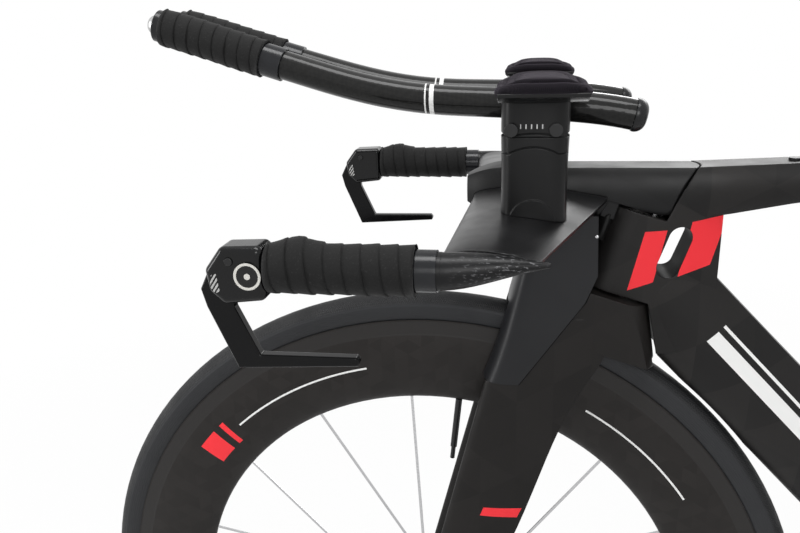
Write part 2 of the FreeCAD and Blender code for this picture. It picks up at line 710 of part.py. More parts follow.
def seatstay(side):
    y_end = size("rear_spacing") / 2 + size("dropout_thick") / 2
    joint = bracket + SEAT_UP * 385
    stations = (
        (joint.x, 11, joint.z, 6, 13), (joint.x - 40, 18, joint.z - 34, 6, 11),
        (joint.x - 90, 25.5, joint.z - 80, 6, 10), (joint.x - 190, 47, joint.z - 172, 5, 9),
        (rear_axle.x + 46, y_end + 1, rear_axle.z + 44, 4, 8), (rear_axle.x + 12, y_end, rear_axle.z + 12, 3, 8))
    return stay_loft(stations, side)


chainstay_shapes = [chainstay(LEFT), chainstay(RIGHT)]
seatstay_shapes = []
for side, chainstay_shape in zip((LEFT, RIGHT), chainstay_shapes):
    disc, slot = dropout(rear_axle, side, size("rear_spacing"), 16)
    post_room = post_prism(0, size("seat_tube_length"), size("seat_gap"))
    stay = seatstay(side).cut(frame_shape).cut(chainstay_shape).cut(slot).cut(rear_nuts).cut(post_room)
    stay = stay.cut(rear_nut_room)
    seatstay_shapes.append(max(stay.Solids, key=lambda piece: piece.Volume))
stay_run = (bracket + SEAT_UP * 385 - rear_axle).normalize()
stay_across = V(-stay_run.z, 0, stay_run.x)
for k, side in enumerate((LEFT, RIGHT)):
    foot = rear_axle + stay_run * brake_post + V(0, side * BRAKE_POST, 0)
    seatstay_shapes[k] = seatstay_shapes[k].fuse(rod(foot - stay_across * 4, foot + stay_across * 28, 3))
solid("rear_stays", Part.makeCompound(chainstay_shapes + seatstay_shapes))

solid("seatpost", post_prism(size("seat_tube_length") - size("post_depth"), size("post_top"), 0))


# Saddle

saddle_seat = bracket + SEAT_UP * (size("post_top") + 14)


def saddle_sections(drop, inset, thick):
    """Long narrow nose widening to the tail, with sides that draw in below."""
    wires = []
    length, half = size("saddle_length"), size("saddle_width") / 2
    for share, wide, rise in ((0.0, 0.86, 1.5), (0.12, 1.0, 3.0), (0.32, 0.86, 0.0), (0.55, 0.42, -1.5),
                              (0.8, 0.33, 0.0), (1.0, 0.27, -2.5)):
        ends = 1.0 if 0 < share < 1 else 0.55
        x = saddle_seat.x - 0.52 * length + inset + (length - 2 * inset) * share
        side = half * wide - inset
        top = saddle_seat.z + size("saddle_rise") + rise - drop
        low = top - thick * ends
        waist = side * 0.88
        mid_z = (top + low) / 2
        corner, corner_r = V(x, side, mid_z), V(x, -side, mid_z)
        foot, foot_r = V(x, waist * 0.92, low), V(x, -waist * 0.92, low)
        crown = V(x, 0, top)
        wires.append(Part.Wire([
            cubic(foot_r, V(x, -side, low), corner_r - V(0, 0, thick * 0.1), corner_r),
            cubic(corner_r, corner_r + V(0, 0, thick * 0.35), crown - V(0, waist * 0.6, 0), crown),
            cubic(crown, crown + V(0, waist * 0.6, 0), corner + V(0, 0, thick * 0.35), corner),
            cubic(corner, corner - V(0, 0, thick * 0.1), V(x, side, low), foot), line(foot, foot_r)]))
    return wires


SADDLE_PAD = 20.0
solid("saddle_pad", loft(saddle_sections(0, 0, SADDLE_PAD)))
shell_block = loft(saddle_sections(SADDLE_PAD * 0.55, 3, SADDLE_PAD * 0.75))
solid("saddle_shell", shell_block.cut(doc.getObject("saddle_pad").Shape))
rail_z = saddle_seat.z + 6


def saddle_rails():
    """Two rails, straight under the clamp and bent up into the shell at both ends."""
    radius = size("rail_radius")
    under = saddle_seat.z + size("saddle_rise") - SADDLE_PAD * 1.3 - size("seat_gap")
    back = saddle_seat.x - 0.3 * size("saddle_length")
    front = saddle_seat.x + 0.26 * size("saddle_length")
    rails = []
    for side in (LEFT, RIGHT):
        spots = ((back - 14, 30, under - 4), (back + 10, 24, rail_z), (saddle_seat.x, size("rail_gap"), rail_z),
                 (front - 22, 18, rail_z), (front, 11, under - 4))
        points = [V(x, side * y, z) for x, y, z in spots]
        pieces = [rod(a, b, radius) for a, b in zip(points, points[1:])]
        pieces += [Part.makeSphere(radius, p) for p in points]
        rails.append(union(pieces).cut(shell_block))
    return Part.makeCompound(rails)


rails_shape = saddle_rails()
solid("saddle_rails", rails_shape)


def saddle_clamp():
    """Cross bar on top of the post that grips both rails, with its bolt."""
    wide = size("rail_gap") + 8
    bar = rod(saddle_seat - V(0, wide, 0), saddle_seat + V(0, wide, 0), 13)
    foot = post_prism(size("post_top"), size("post_top") + 14, 0)
    return bar.fuse(foot).cut(rails_shape)


solid("saddle_clamp", saddle_clamp())


def frame_bolts():
    """Screw of the post's clamping wedge and the two box bolts, on the top tube's upper face."""
    heads = []
    wedge_x = bracket.x - math.cos(slope) * size("seat_tube_length") + size("post_fore") + 20
    for x in (wedge_x, front_axle.x - 285, front_axle.x - 349):
        probe = line(V(x, 0, head_point.z - 40), V(x, 0, head_point.z + 400)).common(frame_shape)
        top = max(vertex.Z for vertex in probe.Vertexes)
        heads.append(rod(V(x, 0, top - 1), V(x, 0, top + 2), 4.5).cut(frame_shape))
    return heads


solid("frame_bolts", Part.makeCompound(frame_bolts()))


# Cockpit

def sleeve(points_x, radii, inner, y):
    """Turned sleeve about a handle, from (x, radius) pairs."""
    outline = [V(x, y, bar_z + r) for x, r in zip(points_x, radii)]
    outline = [V(points_x[0], y, bar_z + inner)] + outline + [V(points_x[-1], y, bar_z + inner)]
    return polygon(outline).revolve(V(0, y, bar_z), X_AXIS, 360)


grip_front = hood_back - 0.3
grip_back = grip_front - size("grip_length")
handle_bore = size("bar_radius") + size("seat_gap") / 2


def wrapped_grip(side):
    """Tape wound round the handle: each wrap ends in a step."""
    count = int(size("grip_wraps"))
    step = size("grip_length") / count
    xs, radii = [], []
    for i in range(count):
        xs += [grip_back + step * i, grip_back + step * (i + 1)]
        radii += [size("grip_radius"), size("grip_radius") - 1.3]
    return sleeve(xs, radii, handle_bore, side * size("bar_half_span"))


solid("grip_tapes", Part.makeCompound([wrapped_grip(side) for side in (LEFT, RIGHT)]))

# (x from the axle, height, share of the toe-in) along an extension, from its rear end to its tip
extension_spots = ((-163.5, -5.1, 0), (-23.4, 6.8, 0.52), (16.8, 10.8, 0.68), (55, 19, 0.78), (95.7, 30.8, 0.86),
                   (147.3, 47, 0.95), (179.3, 57.5, 0.98), (209, 66.5, 1.0), (226, 71.3, 1.0))


def extension_curve(side):
    base = bar_z + size("extension_rise")
    points = []
    for x, z, share in extension_spots:
        y = size("extension_half_gap") - size("toe_in") * share
        points.append(V(front_axle.x + x, side * y, base + z))
    curve = Part.BSplineCurve()
    curve.interpolate(points)
    return curve


def curve_at(curve, x):
    """Parameter of a curve that runs forward, at a given x."""
    low, high = curve.FirstParameter, curve.LastParameter
    for _ in range(40):
        middle = (low + high) / 2
        if curve.value(middle).x < x:
            low = middle
        else:
            high = middle
    return (low + high) / 2


def tube_rings(curve, stations):
    """Circles square to a curve, from (x, radius) pairs."""
    rings = []
    for x, radius in stations:
        where = curve_at(curve, x)
        ahead = V(*curve.tangent(where)[0])
        up = (Y_AXIS.cross(ahead) * -1).normalize()
        rings.append(oval_wire(curve.value(where), up, ahead.cross(up), radius, radius, radius))
    return rings


ext_back, ext_tip = front_axle.x - 157, front_axle.x + 204
ext_grip_back, ext_grip_tip = front_axle.x + 125.5, front_axle.x + 208
extension_shapes = {}
extension_grips = []
band_solids = []
button_places = {}
for side, name in ((LEFT, "left"), (RIGHT, "right")):
    curve = extension_curve(side)
    bare = [(ext_back + (ext_tip - ext_back) * i / 9, size("extension_radius")) for i in range(10)]
    extension_shapes[side] = loft(tube_rings(curve, bare))
    count = int(size("extension_wraps"))
    step = (ext_grip_tip - ext_grip_back) / count
    wraps = []
    for i in range(count):
        wraps += [(ext_grip_back + step * i, size("extension_grip_radius")),
                  (ext_grip_back + step * (i + 0.98), size("extension_grip_radius") - 1.3)]
    extension_grips.append(loft(tube_rings(curve, wraps), True).cut(extension_shapes[side]))
    band = [(ext_grip_back - 0.3 - 16 * k, size("extension_radius") + 1.6) for k in (1, 0)]
    band_solids.append(loft(tube_rings(curve, band), True).cut(extension_shapes[side]))
    tip = curve_at(curve, ext_grip_tip)
    button_places[side] = (curve.value(tip), V(*curve.tangent(tip)[0]))

for side in (LEFT, RIGHT):
    ends = (grip_back - size("seat_gap") - size("band_length"), grip_back - size("seat_gap"))
    outer = size("bar_radius") + size("band_thick")
    band_solids.append(sleeve(ends, (outer, outer), handle_bore, side * size("bar_half_span")))
solid("finishing_bands", Part.makeCompound(band_solids))
solid("extensions", Part.makeCompound([extension_shapes[side] for side in (LEFT, RIGHT)]))
solid("extension_grips", Part.makeCompound(extension_grips))


def domed_end(start, direction, radius, length, name):
    """A short stub with a rounded end, pointing along direction."""
    up = (Y_AXIS.cross(direction) * -1).normalize()
    aside = direction.cross(up)
    rings = []
    for share, shrink in ((0.0, 1.0), (0.45, 0.97), (0.8, 0.78), (1.0, 0.4)):
        rings.append(oval_wire(start + direction * (length * share), up, aside, *([radius * shrink] * 3)))
    return loft(rings)


plugs, pods = [], []
for side, name in ((LEFT, "left"), (RIGHT, "right")):
    curve = extension_curve(side)
    tail = curve_at(curve, ext_back)
    backward = V(*curve.tangent(tail)[0]) * -1
    plugs.append(domed_end(curve.value(tail) + backward * size("seat_gap"), backward,
                           size("extension_radius") + 0.6, 9, name))
    start, ahead = button_places[side]
    start = start + ahead * size("seat_gap")
    collar = rod(start, start + ahead * 5, size("extension_grip_radius") - 3)
    pods.append(collar.cut(rod(start + ahead, start + ahead * 9, size("button_radius") + 0.3)))
    button = domed_end(start + ahead * (1 + size("button_travel") + 0.3), ahead, size("button_radius"), 9, name)
    solid(f"shift_button_{name}", button)
solid("extension_ends", Part.makeCompound(plugs + pods))


riser_x = front_axle.x - 87
riser_top = bar_z + size("riser_rise")
clamp_top = riser_top + size("clamp_height")


def pillar(side, grow):
    half, wide = size("riser_length") / 2, size("riser_width") / 2
    rings = []
    for z, swell in ((head_point.z + 2, 1.02), (head_point.z + 30, 0.98), (riser_top, 1.0)):
        centre = V(riser_x, side * size("riser_y"), z)
        fore = half * swell + grow
        rings.append(oval_wire(centre, X_AXIS, Y_AXIS, fore, fore, wide + grow, BLUFF))
    return loft(rings)


def lip(centre, radius, reach, width):
    """Band along the top of a circle in the side view."""
    aside = V(0, 200, 0)
    band = ring(centre - aside, centre + aside, radius + width / 2, radius - width / 2)
    return band.common(box((centre.x - reach, centre.x + reach), (-200, 200), (centre.z, centre.z + 2 * radius)))


def riser(side):
    """Spacers that stand on the wing of the base bar, with a curved joint and a foot."""
    width = size("joint_width")
    middle = riser_x + 1
    joint_z = riser_top - 10.9
    bands = [lip(V(middle, 0, joint_z - 26.6), 31.1, 16.1, width)]
    for end in (-1, 1):
        span = sorted((middle + end * 16.1, middle + end * 40))
        bands.append(box(span, (-200, 200), (joint_z - width / 2, joint_z + width / 2)))
    joint = union(bands).cut(pillar(side, -size("joint_depth")))
    foot_low, foot_high = V(middle, -200, riser_top - 57.4), V(middle, 200, riser_top - 57.4)
    foot = pillar(side, 0.9).common(rod(foot_low, foot_high, 15.5))
    return pillar(side, 0).cut(joint).fuse(foot).cut(base_bar_shape)


def extension_clamp(side):
    """Block on the riser with a collar for the extension on its inner side."""
    half, wide, y = size("riser_length") / 2, size("riser_width") / 2, size("riser_y")
    gap = size("seat_gap")
    deep = size("joint_depth")
    block, core = [loft([oval_wire(V(riser_x, side * y, z), X_AXIS, Y_AXIS, half - d, half - d, wide - d, BLUFF)
                         for z in (riser_top + gap, clamp_top)]) for d in (0, deep)]
    joint = lip(V(riser_x + 1, 0, riser_top + 2.6 - 63.2), 63.2, 18.6, size("joint_width"))
    block = block.cut(joint.cut(core))
    for end in (-1, 1):
        corner = [(riser_x + end * (half + 2), riser_top + 4.4), (riser_x + end * (half + 2), riser_top - 1),
                  (riser_x + end * (half - 7), riser_top - 1)]
        block = block.cut(prism_y(corner, side * y - 60, side * y + 60))
    curve = extension_curve(side)
    outer = size("extension_radius") + size("clamp_wall")
    collar = loft(tube_rings(curve, [(riser_x - half * 0.8, outer), (riser_x + half * 0.8, outer)]))
    inner, reach = abs(curve.value(curve_at(curve, riser_x)).y), y - wide + 6
    web = box((riser_x - half * 0.8, riser_x + half * 0.8), sorted((side * inner, side * reach)),
              (riser_top + 3, clamp_top - 3))
    return union([block, collar, web]).cut(extension_shapes[side])


solid("arm_rest_risers", Part.makeCompound([riser(s) for s in (LEFT, RIGHT)]))
solid("extension_clamps", Part.makeCompound([extension_clamp(s) for s in (LEFT, RIGHT)]))


def trough(side, x, half, low, high, lip):
    """Section across an arm rest: curved below, curved above, square to X."""
    y = side * size("pad_y")
    sag = size("cup_sag")
    a, c = V(x, y - half, low + sag), V(x, y + half, low + sag)
    d, f = V(x, y + half, high + sag - lip), V(x, y - half, high + sag - lip)
    below, above = V(x, y, low - sag), V(x, y, high - sag + lip)
    return Part.Wire([cubic(a, below, c), line(c, d), cubic(d, above, f), line(f, a)])


cup_low = clamp_top + size("seat_gap")
pad_low = cup_low + size("cup_thick") + size("seat_gap")


def arm_cup(side):
    half, thick = size("pad_width") / 2, size("cup_thick")
    ends = [riser_x - 4 + e * size("pad_length") / 2 for e in (-1, 1)]
    return loft([trough(side, x, half, cup_low, cup_low + thick, 0) for x in ends], True)


def arm_pad(side):
    """Foam pad in the cup: crowned along its length, with ends that draw in."""
    half, long = size("pad_width") / 2, size("pad_length") / 2
    thick = size("pad_thick")
    wires = []
    for share, swell, wide in ((-0.97, 0.3, 0.93), (-0.62, 0.86, 0.98), (0.0, 1.0, 0.99), (0.62, 0.86, 0.98),
                               (0.97, 0.3, 0.93)):
        x = riser_x - 4 + long * share
        wires.append(trough(side, x, half * wide, pad_low, pad_low + thick * swell, thick * swell * 0.3))
    return loft(wires)


solid("arm_cups", Part.makeCompound([arm_cup(s) for s in (LEFT, RIGHT)]))
solid("arm_pads", Part.makeCompound([arm_pad(side) for side in (LEFT, RIGHT)]))


def clamp_bolts():
    """Bolt heads on the outer faces of the extension clamps."""
    heads = []
    for side in (LEFT, RIGHT):
        face = side * (size("riser_y") + size("riser_width") / 2)
        for step in (-13.5, 16):
            spot = V(riser_x + step, face, riser_top + 5.0)
            heads.append(rod(spot - V(0, side * 0.5, 0), spot + V(0, side * 1.5, 0), 4.5))
    return heads


clamp_shapes = doc.getObject("extension_clamps").Shape
bolt_heads = [head.cut(clamp_shapes) for head in clamp_bolts()]


# Brake levers

lever_pivot = V(front_axle.x + 96.5, 0, bar_z + 7)
HOOD = ((-21.5, 9.5), (6, 8.5), (17, -6), (15, -20), (6, -28.5), (-21.5, -25.5))
LEVER = ((6, 5.5), (10, 4), (19, -11), (24, -21), (21, -33), (3.5, -75), (-76, -70.5), (-77, -67.5),
         (-75, -64.5), (-12, -65), (2.5, -33), (3, -22), (-5, -7), (-5, 3), (0, 6))


def lever_points(outline):
    return [(lever_pivot.x + x, lever_pivot.z + z) for x, z in outline]


def lever_body(side):
    y, half = side * size("bar_half_span"), size("lever_width") / 2
    block = prism_y(lever_points(HOOD), y - half, y + half)
    block = block.makeFillet(4.5, block.Edges)
    slot_half = size("lever_blade_width") / 2 + 0.4
    slot = box((lever_pivot.x - 14, lever_pivot.x + 40), (y - slot_half, y + slot_half),
               (lever_pivot.z - 60, lever_pivot.z + 7))
    pin = rod(lever_pivot + V(0, y - 20, 0), lever_pivot + V(0, y + 20, 0), size("pivot_radius"))
    return block.cut(slot).cut(pin)


def lever_blade(side):
    y, half = side * size("bar_half_span"), size("lever_blade_width") / 2
    pin = rod(lever_pivot + V(0, y - 20, 0), lever_pivot + V(0, y + 20, 0),
              size("pivot_radius") + size("bearing_gap"))
    blade = prism_y(lever_points(LEVER), y - half, y + half)
    return blade.makeFillet(1.5, blade.Edges).cut(pin)


pins, badges = [], []
for side, name in ((LEFT, "left"), (RIGHT, "right")):
    solid(f"lever_blade_{name}", lever_blade(side))
    y = side * size("bar_half_span")
    reach = size("lever_width") / 2
    pins.append(rod(lever_pivot + V(0, y - reach - 0.8, 0), lever_pivot + V(0, y + reach + 0.8, 0),
                    size("pivot_radius")))
    spot = lever_pivot + V(-11.5, y + side * reach, -9)
    badges.append(rod(spot, spot + V(0, side * 1.2, 0), size("badge_radius")))
solid("lever_bodies", Part.makeCompound([lever_body(side) for side in (LEFT, RIGHT)]))
solid("cockpit_bolts", Part.makeCompound(pins + bolt_heads))
solid("lever_badges", Part.makeCompound(badges))


# Rim brakes

def brake_arm(axle, radial, along, side, post, pivot_radius, arm_start):
    """One arm: a boss on its post, a leg past the tyre, and a shoe plate beside the rim."""
    pad_y = size("rim_width") / 2 - 2.5 + size("shoe_gap") + 8
    thick = size("arm_thick")

    def spot(r, y):
        return axle + radial * r + along * arm_start + V(0, side * y, 0)

    outline = [spot(post + 6, BRAKE_POST - 4), spot(post + 6, BRAKE_POST + 5), spot(post - 4, BRAKE_POST + 8),
               spot(size("pad_reach") + 6, pad_y + 6), spot(size("pad_reach") - 7, pad_y + 5),
               spot(size("pad_reach") - 7, pad_y), spot(size("pad_reach") + 8, pad_y),
               spot(post - 8, BRAKE_POST - 2)]
    arm = polygon(outline).extrude(along * thick)
    bore = rod(spot(post, BRAKE_POST) - along * 30, spot(post, BRAKE_POST) + along * 60, pivot_radius)
    return arm.cut(bore)


def brake_shoe(axle, radial, along, side, arm_start):
    inner = size("rim_width") / 2 - 2.5 + size("shoe_gap")
    thick = size("arm_thick")
    centre = axle + radial * size("pad_reach") + along * (arm_start + thick / 2)
    corners = [centre + along * a + radial * r + V(0, side * inner, 0)
               for a, r in ((-15, -5), (15, -5), (15, 5), (-15, 5))]
    return polygon(corners).extrude(V(0, side * (8 - size("seat_gap")), 0))


def brake(prefix, axle, radial, along, post, arm_start):
    for side, name in ((LEFT, "left"), (RIGHT, "right")):
        solid(f"{prefix}_brake_arm_{name}",
              brake_arm(axle, radial, along, side, post, 3 + size("bearing_gap"), arm_start))
        solid(f"{prefix}_brake_shoe_{name}", brake_shoe(axle, radial, along, side, arm_start))


brake("front", front_axle, FRONT_OUT, FRONT_ALONG, brake_post, -3.0)


# Drivetrain

def pitch_radius(teeth):
    return size("chain_pitch") / (2 * math.sin(math.pi / teeth))


def sprocket(centre, y, teeth, thick, phase, bore):
    """Toothed disc in the XZ plane with a gap for a chain roller at each pitch angle."""
    radius = pitch_radius(teeth)
    tip, root = radius + 2.6, radius - 4.2
    points = []
    for i in range(int(teeth)):
        for share, r in ((0.0, root), (0.5, tip)):
            angle = phase + 2 * math.pi * (i + share) / teeth
            points.append(V(centre.x + r * math.cos(angle), y - thick / 2, centre.z + r * math.sin(angle)))
    disc = polygon(points).extrude(V(0, thick, 0))
    return disc.cut(rod(V(centre.x, y - thick, centre.z), V(centre.x, y + thick, centre.z), bore))


chain_y = -size("chain_line")
ring_centre = bracket
cog_centre = rear_axle
guide_centre = rear_axle + V(4, 0, -88)
cage_angle = math.radians(-68)
tension_centre = guide_centre + V(math.cos(cage_angle), 0, math.sin(cage_angle)) * size("cage_length")

# The chain's loop, in the way it runs: over the ring, back along the bottom, round both pulleys and the cog.
# A turn of -1 is clockwise seen from the left side with X to the right.
LOOP = ((ring_centre, size("ring_teeth"), -1), (tension_centre, size("pulley_teeth"), -1),
        (guide_centre, size("pulley_teeth"), 1), (cog_centre, size("chain_cog"), -1))


def tangent(start, end):
    """Leaving and arriving points of the straight run between two wheels of the loop."""
    (a, teeth_a, turn_a), (b, teeth_b, turn_b) = start, end
    ra, rb = pitch_radius(teeth_a) * turn_a, pitch_radius(teeth_b) * turn_b
    gap = V(b.x - a.x, 0, b.z - a.z)
    heading = math.atan2(gap.z, gap.x)
    tilt = math.asin((ra - rb) / gap.Length)
    angle = heading + tilt
    normal = V(math.sin(angle), 0, -math.cos(angle))
    return a + normal * ra, b + normal * rb


def chain_points():
    """Evenly spaced pins along the loop."""
    runs = [tangent(LOOP[i], LOOP[(i + 1) % 4]) for i in range(4)]
    pieces = []
    for i in range(4):
        centre, teeth, turn = LOOP[i]
        radius = pitch_radius(teeth)
        arrive, leave = runs[i - 1][1], runs[i][0]
        first = math.atan2(arrive.z - centre.z, arrive.x - centre.x)
        last = math.atan2(leave.z - centre.z, leave.x - centre.x)
        sweep = (last - first) % (2 * math.pi) if turn > 0 else -((first - last) % (2 * math.pi))
        pieces.append(("arc", centre, radius, first, sweep, abs(sweep) * radius))
        pieces.append(("run", runs[i][0], runs[i][1], 0, 0, (runs[i][1] - runs[i][0]).Length))
    total = sum(piece[5] for piece in pieces)
    count = 2 * round(total / size("chain_pitch") / 2)
    points = []
    for k in range(count):
        left = total * k / count
        for kind, a, b, first, sweep, length in pieces:
            if left <= length:
                share = left / length
                if kind == "arc":
                    angle = first + sweep * share
                    points.append(a + V(b * math.cos(angle), 0, b * math.sin(angle)))
                else:
                    points.append(a + (b - a) * share)
                break
            left -= length
    return points, total / count


chain_pins, chain_step = chain_points()
print("chain pins", len(chain_pins), "spacing", round(chain_step, 3))


def chain():
    """Roller chain: narrow and wide links in turn, with a roller at each pin."""
    tall, thick, outer = size("plate_height"), size("plate_thick"), size("chain_half_width")
    inner_face = outer - 2 * thick - 0.05
    pieces = []
    for k, pin in enumerate(chain_pins):
        following = chain_pins[(k + 1) % len(chain_pins)]
        run = following - pin
        reach = outer if k % 2 else outer - thick - 0.05
        for side in (LEFT, RIGHT):
            low = min(side * reach, side * (reach - thick))
            plate = Part.makeBox(run.Length + 5, thick, tall, V(-2.5, low, -tall / 2))
            plate.Placement = FreeCAD.Placement(V(pin.x, chain_y, pin.z), FreeCAD.Rotation(X_AXIS, run))
            pieces.append(plate)
        roller = Part.makeBox(2.4, 2 * inner_face - 0.1, 2.4, V(-1.2, -inner_face + 0.05, -1.2))
        roller.Placement = FreeCAD.Placement(V(pin.x, chain_y, pin.z), FreeCAD.Rotation(X_AXIS, run))
        pieces.append(roller)
    return Part.makeCompound(pieces)


solid("chain", chain())


def mesh_phase(centre, teeth):
    """Mean angle of the pins that lie on a wheel, within one tooth, so that its gaps meet the rollers."""
    radius = pitch_radius(teeth)
    east, north = 0.0, 0.0
    for pin in chain_pins:
        out = pin - V(centre.x, 0, centre.z)
        if abs(out.Length - radius) < 0.05:
            angle = math.atan2(out.z, out.x) * teeth
            east += math.cos(angle)
            north += math.sin(angle)
    return math.atan2(north, east) / teeth


hub_bore = 17.2
cog_phase = mesh_phase(cog_centre, size("chain_cog"))
cogs = []
for step, teeth in enumerate(COGS):
    y = -(size("rear_spacing") / 2 - 3.7 - size("cog_spacing") * step)
    if teeth == int(size("chain_cog")):
        y = chain_y
    cogs.append(sprocket(cog_centre, y, teeth, size("cog_thick"), cog_phase, hub_bore))
freehub_in, freehub_out = rear_right_end + size("seat_gap"), size("rear_spacing") / 2 - 3.5
freehub = ring(rear_axle - V(0, freehub_in, 0), rear_axle - V(0, freehub_out, 0), hub_bore,
               size("axle_radius") + size("bearing_gap"))
solid("cassette", union([freehub] + cogs))

ring_bore = 44.0
solid("chainring", sprocket(ring_centre, chain_y, size("ring_teeth"), size("ring_thick") - 1.3,
                            mesh_phase(ring_centre, size("ring_teeth")), ring_bore))


def crank_arm(side, direction):
    """Arm from the spindle to the pedal eye, with its boss."""
    outer = size("crank_face")
    inner = outer - size("crank_width")
    eye = bracket + X_AXIS * (direction * size("crank_length"))
    rings = []
    for share, half, tall in ((-0.1, 0.4, 12), (0.0, 1.0, 21), (0.35, 1.0, 15), (0.8, 0.85, 13), (1.0, 0.85, 14),
                              (1.08, 0.4, 7)):
        centre = bracket + X_AXIS * (direction * size("crank_length") * share)
        centre = centre + V(0, side * (outer + inner) / 2, 0)
        width = size("crank_width") / 2 * half
        rings.append(oval_wire(centre, Z_AXIS, Y_AXIS, tall, tall, width, BLUFF))
    arm = loft(rings)
    eye_boss = rod(eye + V(0, side * inner, 0), eye + V(0, side * outer, 0), 13)
    boss = rod(bracket + V(0, side * (size("shell_width") / 2 + 4), 0), bracket + V(0, side * (inner + 2), 0), 18)
    shape = union([arm, eye_boss, boss])
    if side == RIGHT:
        for k in range(4):
            angle = math.pi / 4 + k * math.pi / 2
            out = V(math.cos(angle), 0, math.sin(angle))
            start = bracket + V(0, chain_y - size("ring_thick"), 0)
            finger = rod(start + out * 8, start + out * 56, 5)
            shape = shape.fuse(finger)
        disc = rod(bracket + V(0, chain_y + 6, 0), bracket + V(0, chain_y - 12, 0), ring_bore - size("seat_gap"))
        shape = shape.cut(doc.getObject("chainring").Shape)
        shape = shape.fuse(disc.common(rod(bracket + V(0, chain_y - 3, 0), bracket + V(0, chain_y - 9, 0), 30)))
    shape = shape.cut(rod(bracket - V(0, 90, 0), bracket + V(0, 90, 0), size("spindle_radius")))
    eye_hole = rod(eye - V(0, 90, 0), eye + V(0, 90, 0), size("pedal_radius"))
    return shape.cut(eye_hole)


solid("crank_arm_left", crank_arm(LEFT, -1))
solid("crank_arm_right", crank_arm(RIGHT, 1))
spindle = primitive("Part::Cylinder", "spindle_rod", bracket - V(0, size("crank_face") - 1, 0), Y_AXIS,
                    Radius="sizes.spindle_radius", Height="2 * sizes.crank_face - 2")
keep(spindle, "crank_spindle")
cups = []
for side in (LEFT, RIGHT):
    start = bracket + V(0, side * (size("shell_width") / 2 - 9), 0)
    end = bracket + V(0, side * (size("shell_width") / 2 + 3.5), 0)
    cups.append(ring(start, end, size("shell_bore") - size("bearing_gap"),
                     size("spindle_radius") + size("bearing_gap")))
solid("bottom_bracket_cups", Part.makeCompound(cups))


# Rear derailleur

hanger_y = -(size("rear_spacing") / 2 + size("dropout_thick"))
hanger_bolt = rear_axle + V(-9, 0, -size("hanger_drop"))


def hanger():
    """Tab under the right dropout that carries the derailleur."""
    points = ((8, -13), (-14, -10), (-19, -34), (-2, -38))
    outline = [(rear_axle.x + x, rear_axle.z + z) for x, z in points]
    tab = prism_y(outline, hanger_y, hanger_y + size("dropout_thick") - 0.5)
    return tab.cut(chainstay_shapes[1]).cut(rod(rear_axle - V(0, 120, 0), rear_axle, 12))


cage_pivot = guide_centre


def derailleur_body():
    """Knuckles and link between the hanger and the cage."""
    out = hanger_y
    bolt = rod(V(hanger_bolt.x, out + 4, hanger_bolt.z), V(hanger_bolt.x, out - 4, hanger_bolt.z), 5)
    top = rod(V(hanger_bolt.x, out, hanger_bolt.z), V(hanger_bolt.x, out - 16, hanger_bolt.z), 10)
    low = rod(V(cage_pivot.x, chain_y - 9, cage_pivot.z), V(cage_pivot.x, chain_y - 26, cage_pivot.z), 11)
    link = loft([
        oval_wire(V(hanger_bolt.x, out - 9, hanger_bolt.z), X_AXIS, Y_AXIS, 9, 9, 7, BLUFF),
        oval_wire(V(cage_pivot.x, chain_y - 18, cage_pivot.z), X_AXIS, Y_AXIS, 10, 10, 7, BLUFF)])
    return union([hanger(), bolt, top, low, link])


solid("derailleur_body", derailleur_body())


def cage():
    """Two plates that hold the pulleys between them, with the spacer pins."""
    plates = []
    for y in (chain_y + 5, chain_y - 6.5):
        low, high = V(0, y, 0), V(0, y + 1.5, 0)
        shape = rod(guide_centre + low, guide_centre + high, 11).fuse(
            rod(tension_centre + low, tension_centre + high, 11))
        run = V(tension_centre - guide_centre).normalize()
        across = V(run.z, 0, -run.x) * 8
        corners = [guide_centre + across, tension_centre + across, tension_centre - across, guide_centre - across]
        bar = polygon([c + low for c in corners]).extrude(high - low)
        plates.append(shape.fuse(bar))
    pins = [rod(c + V(0, chain_y - 6, 0), c + V(0, chain_y + 6, 0), 3) for c in (guide_centre, tension_centre)]
    pivot = rod(cage_pivot + V(0, chain_y - 6, 0), cage_pivot + V(0, chain_y - 8.7, 0), 7)
    return union(plates + pins + [pivot])


solid("derailleur_cage", cage())
for centre, name in ((guide_centre, "guide_pulley"), (tension_centre, "tension_pulley")):
    solid(name, sprocket(centre, chain_y, size("pulley_teeth"), size("cog_thick"),
                         mesh_phase(centre, size("pulley_teeth")),
                         3 + size("bearing_gap")))


# Rear brake, on the upper faces of the seatstays

brake("rear", rear_axle, stay_run, stay_across, brake_post, 14.0)


# Check and write

doc.recompute()
for thing in doc.Objects:
    if "Invalid" in thing.State or "Error" in thing.State:
        raise RuntimeError(f"{thing.Name} failed: {thing.State}")
for thing in NODES:
    shape = thing.Shape
    if shape.isNull() or not shape.isValid() or not shape.Solids:
        raise RuntimeError(f"{thing.Label} has no valid solid")
os.makedirs("parts", exist_ok=True)
for thing in NODES:
    thing.Shape.exportStep(f"parts/{thing.Label}.step")
print(len(NODES), "sub-parts written")
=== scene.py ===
# %% [markdown]
# # A time trial bike, dressed in Blender
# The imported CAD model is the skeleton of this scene: every rigid piece is there at its true size and place.
# This lesson adds what a CAD solid shows badly: finishes, wound tape, padded covers and a chain with real links.

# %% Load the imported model
import math

import bmesh
import bpy
import numpy as np
from mathutils import Matrix, Vector


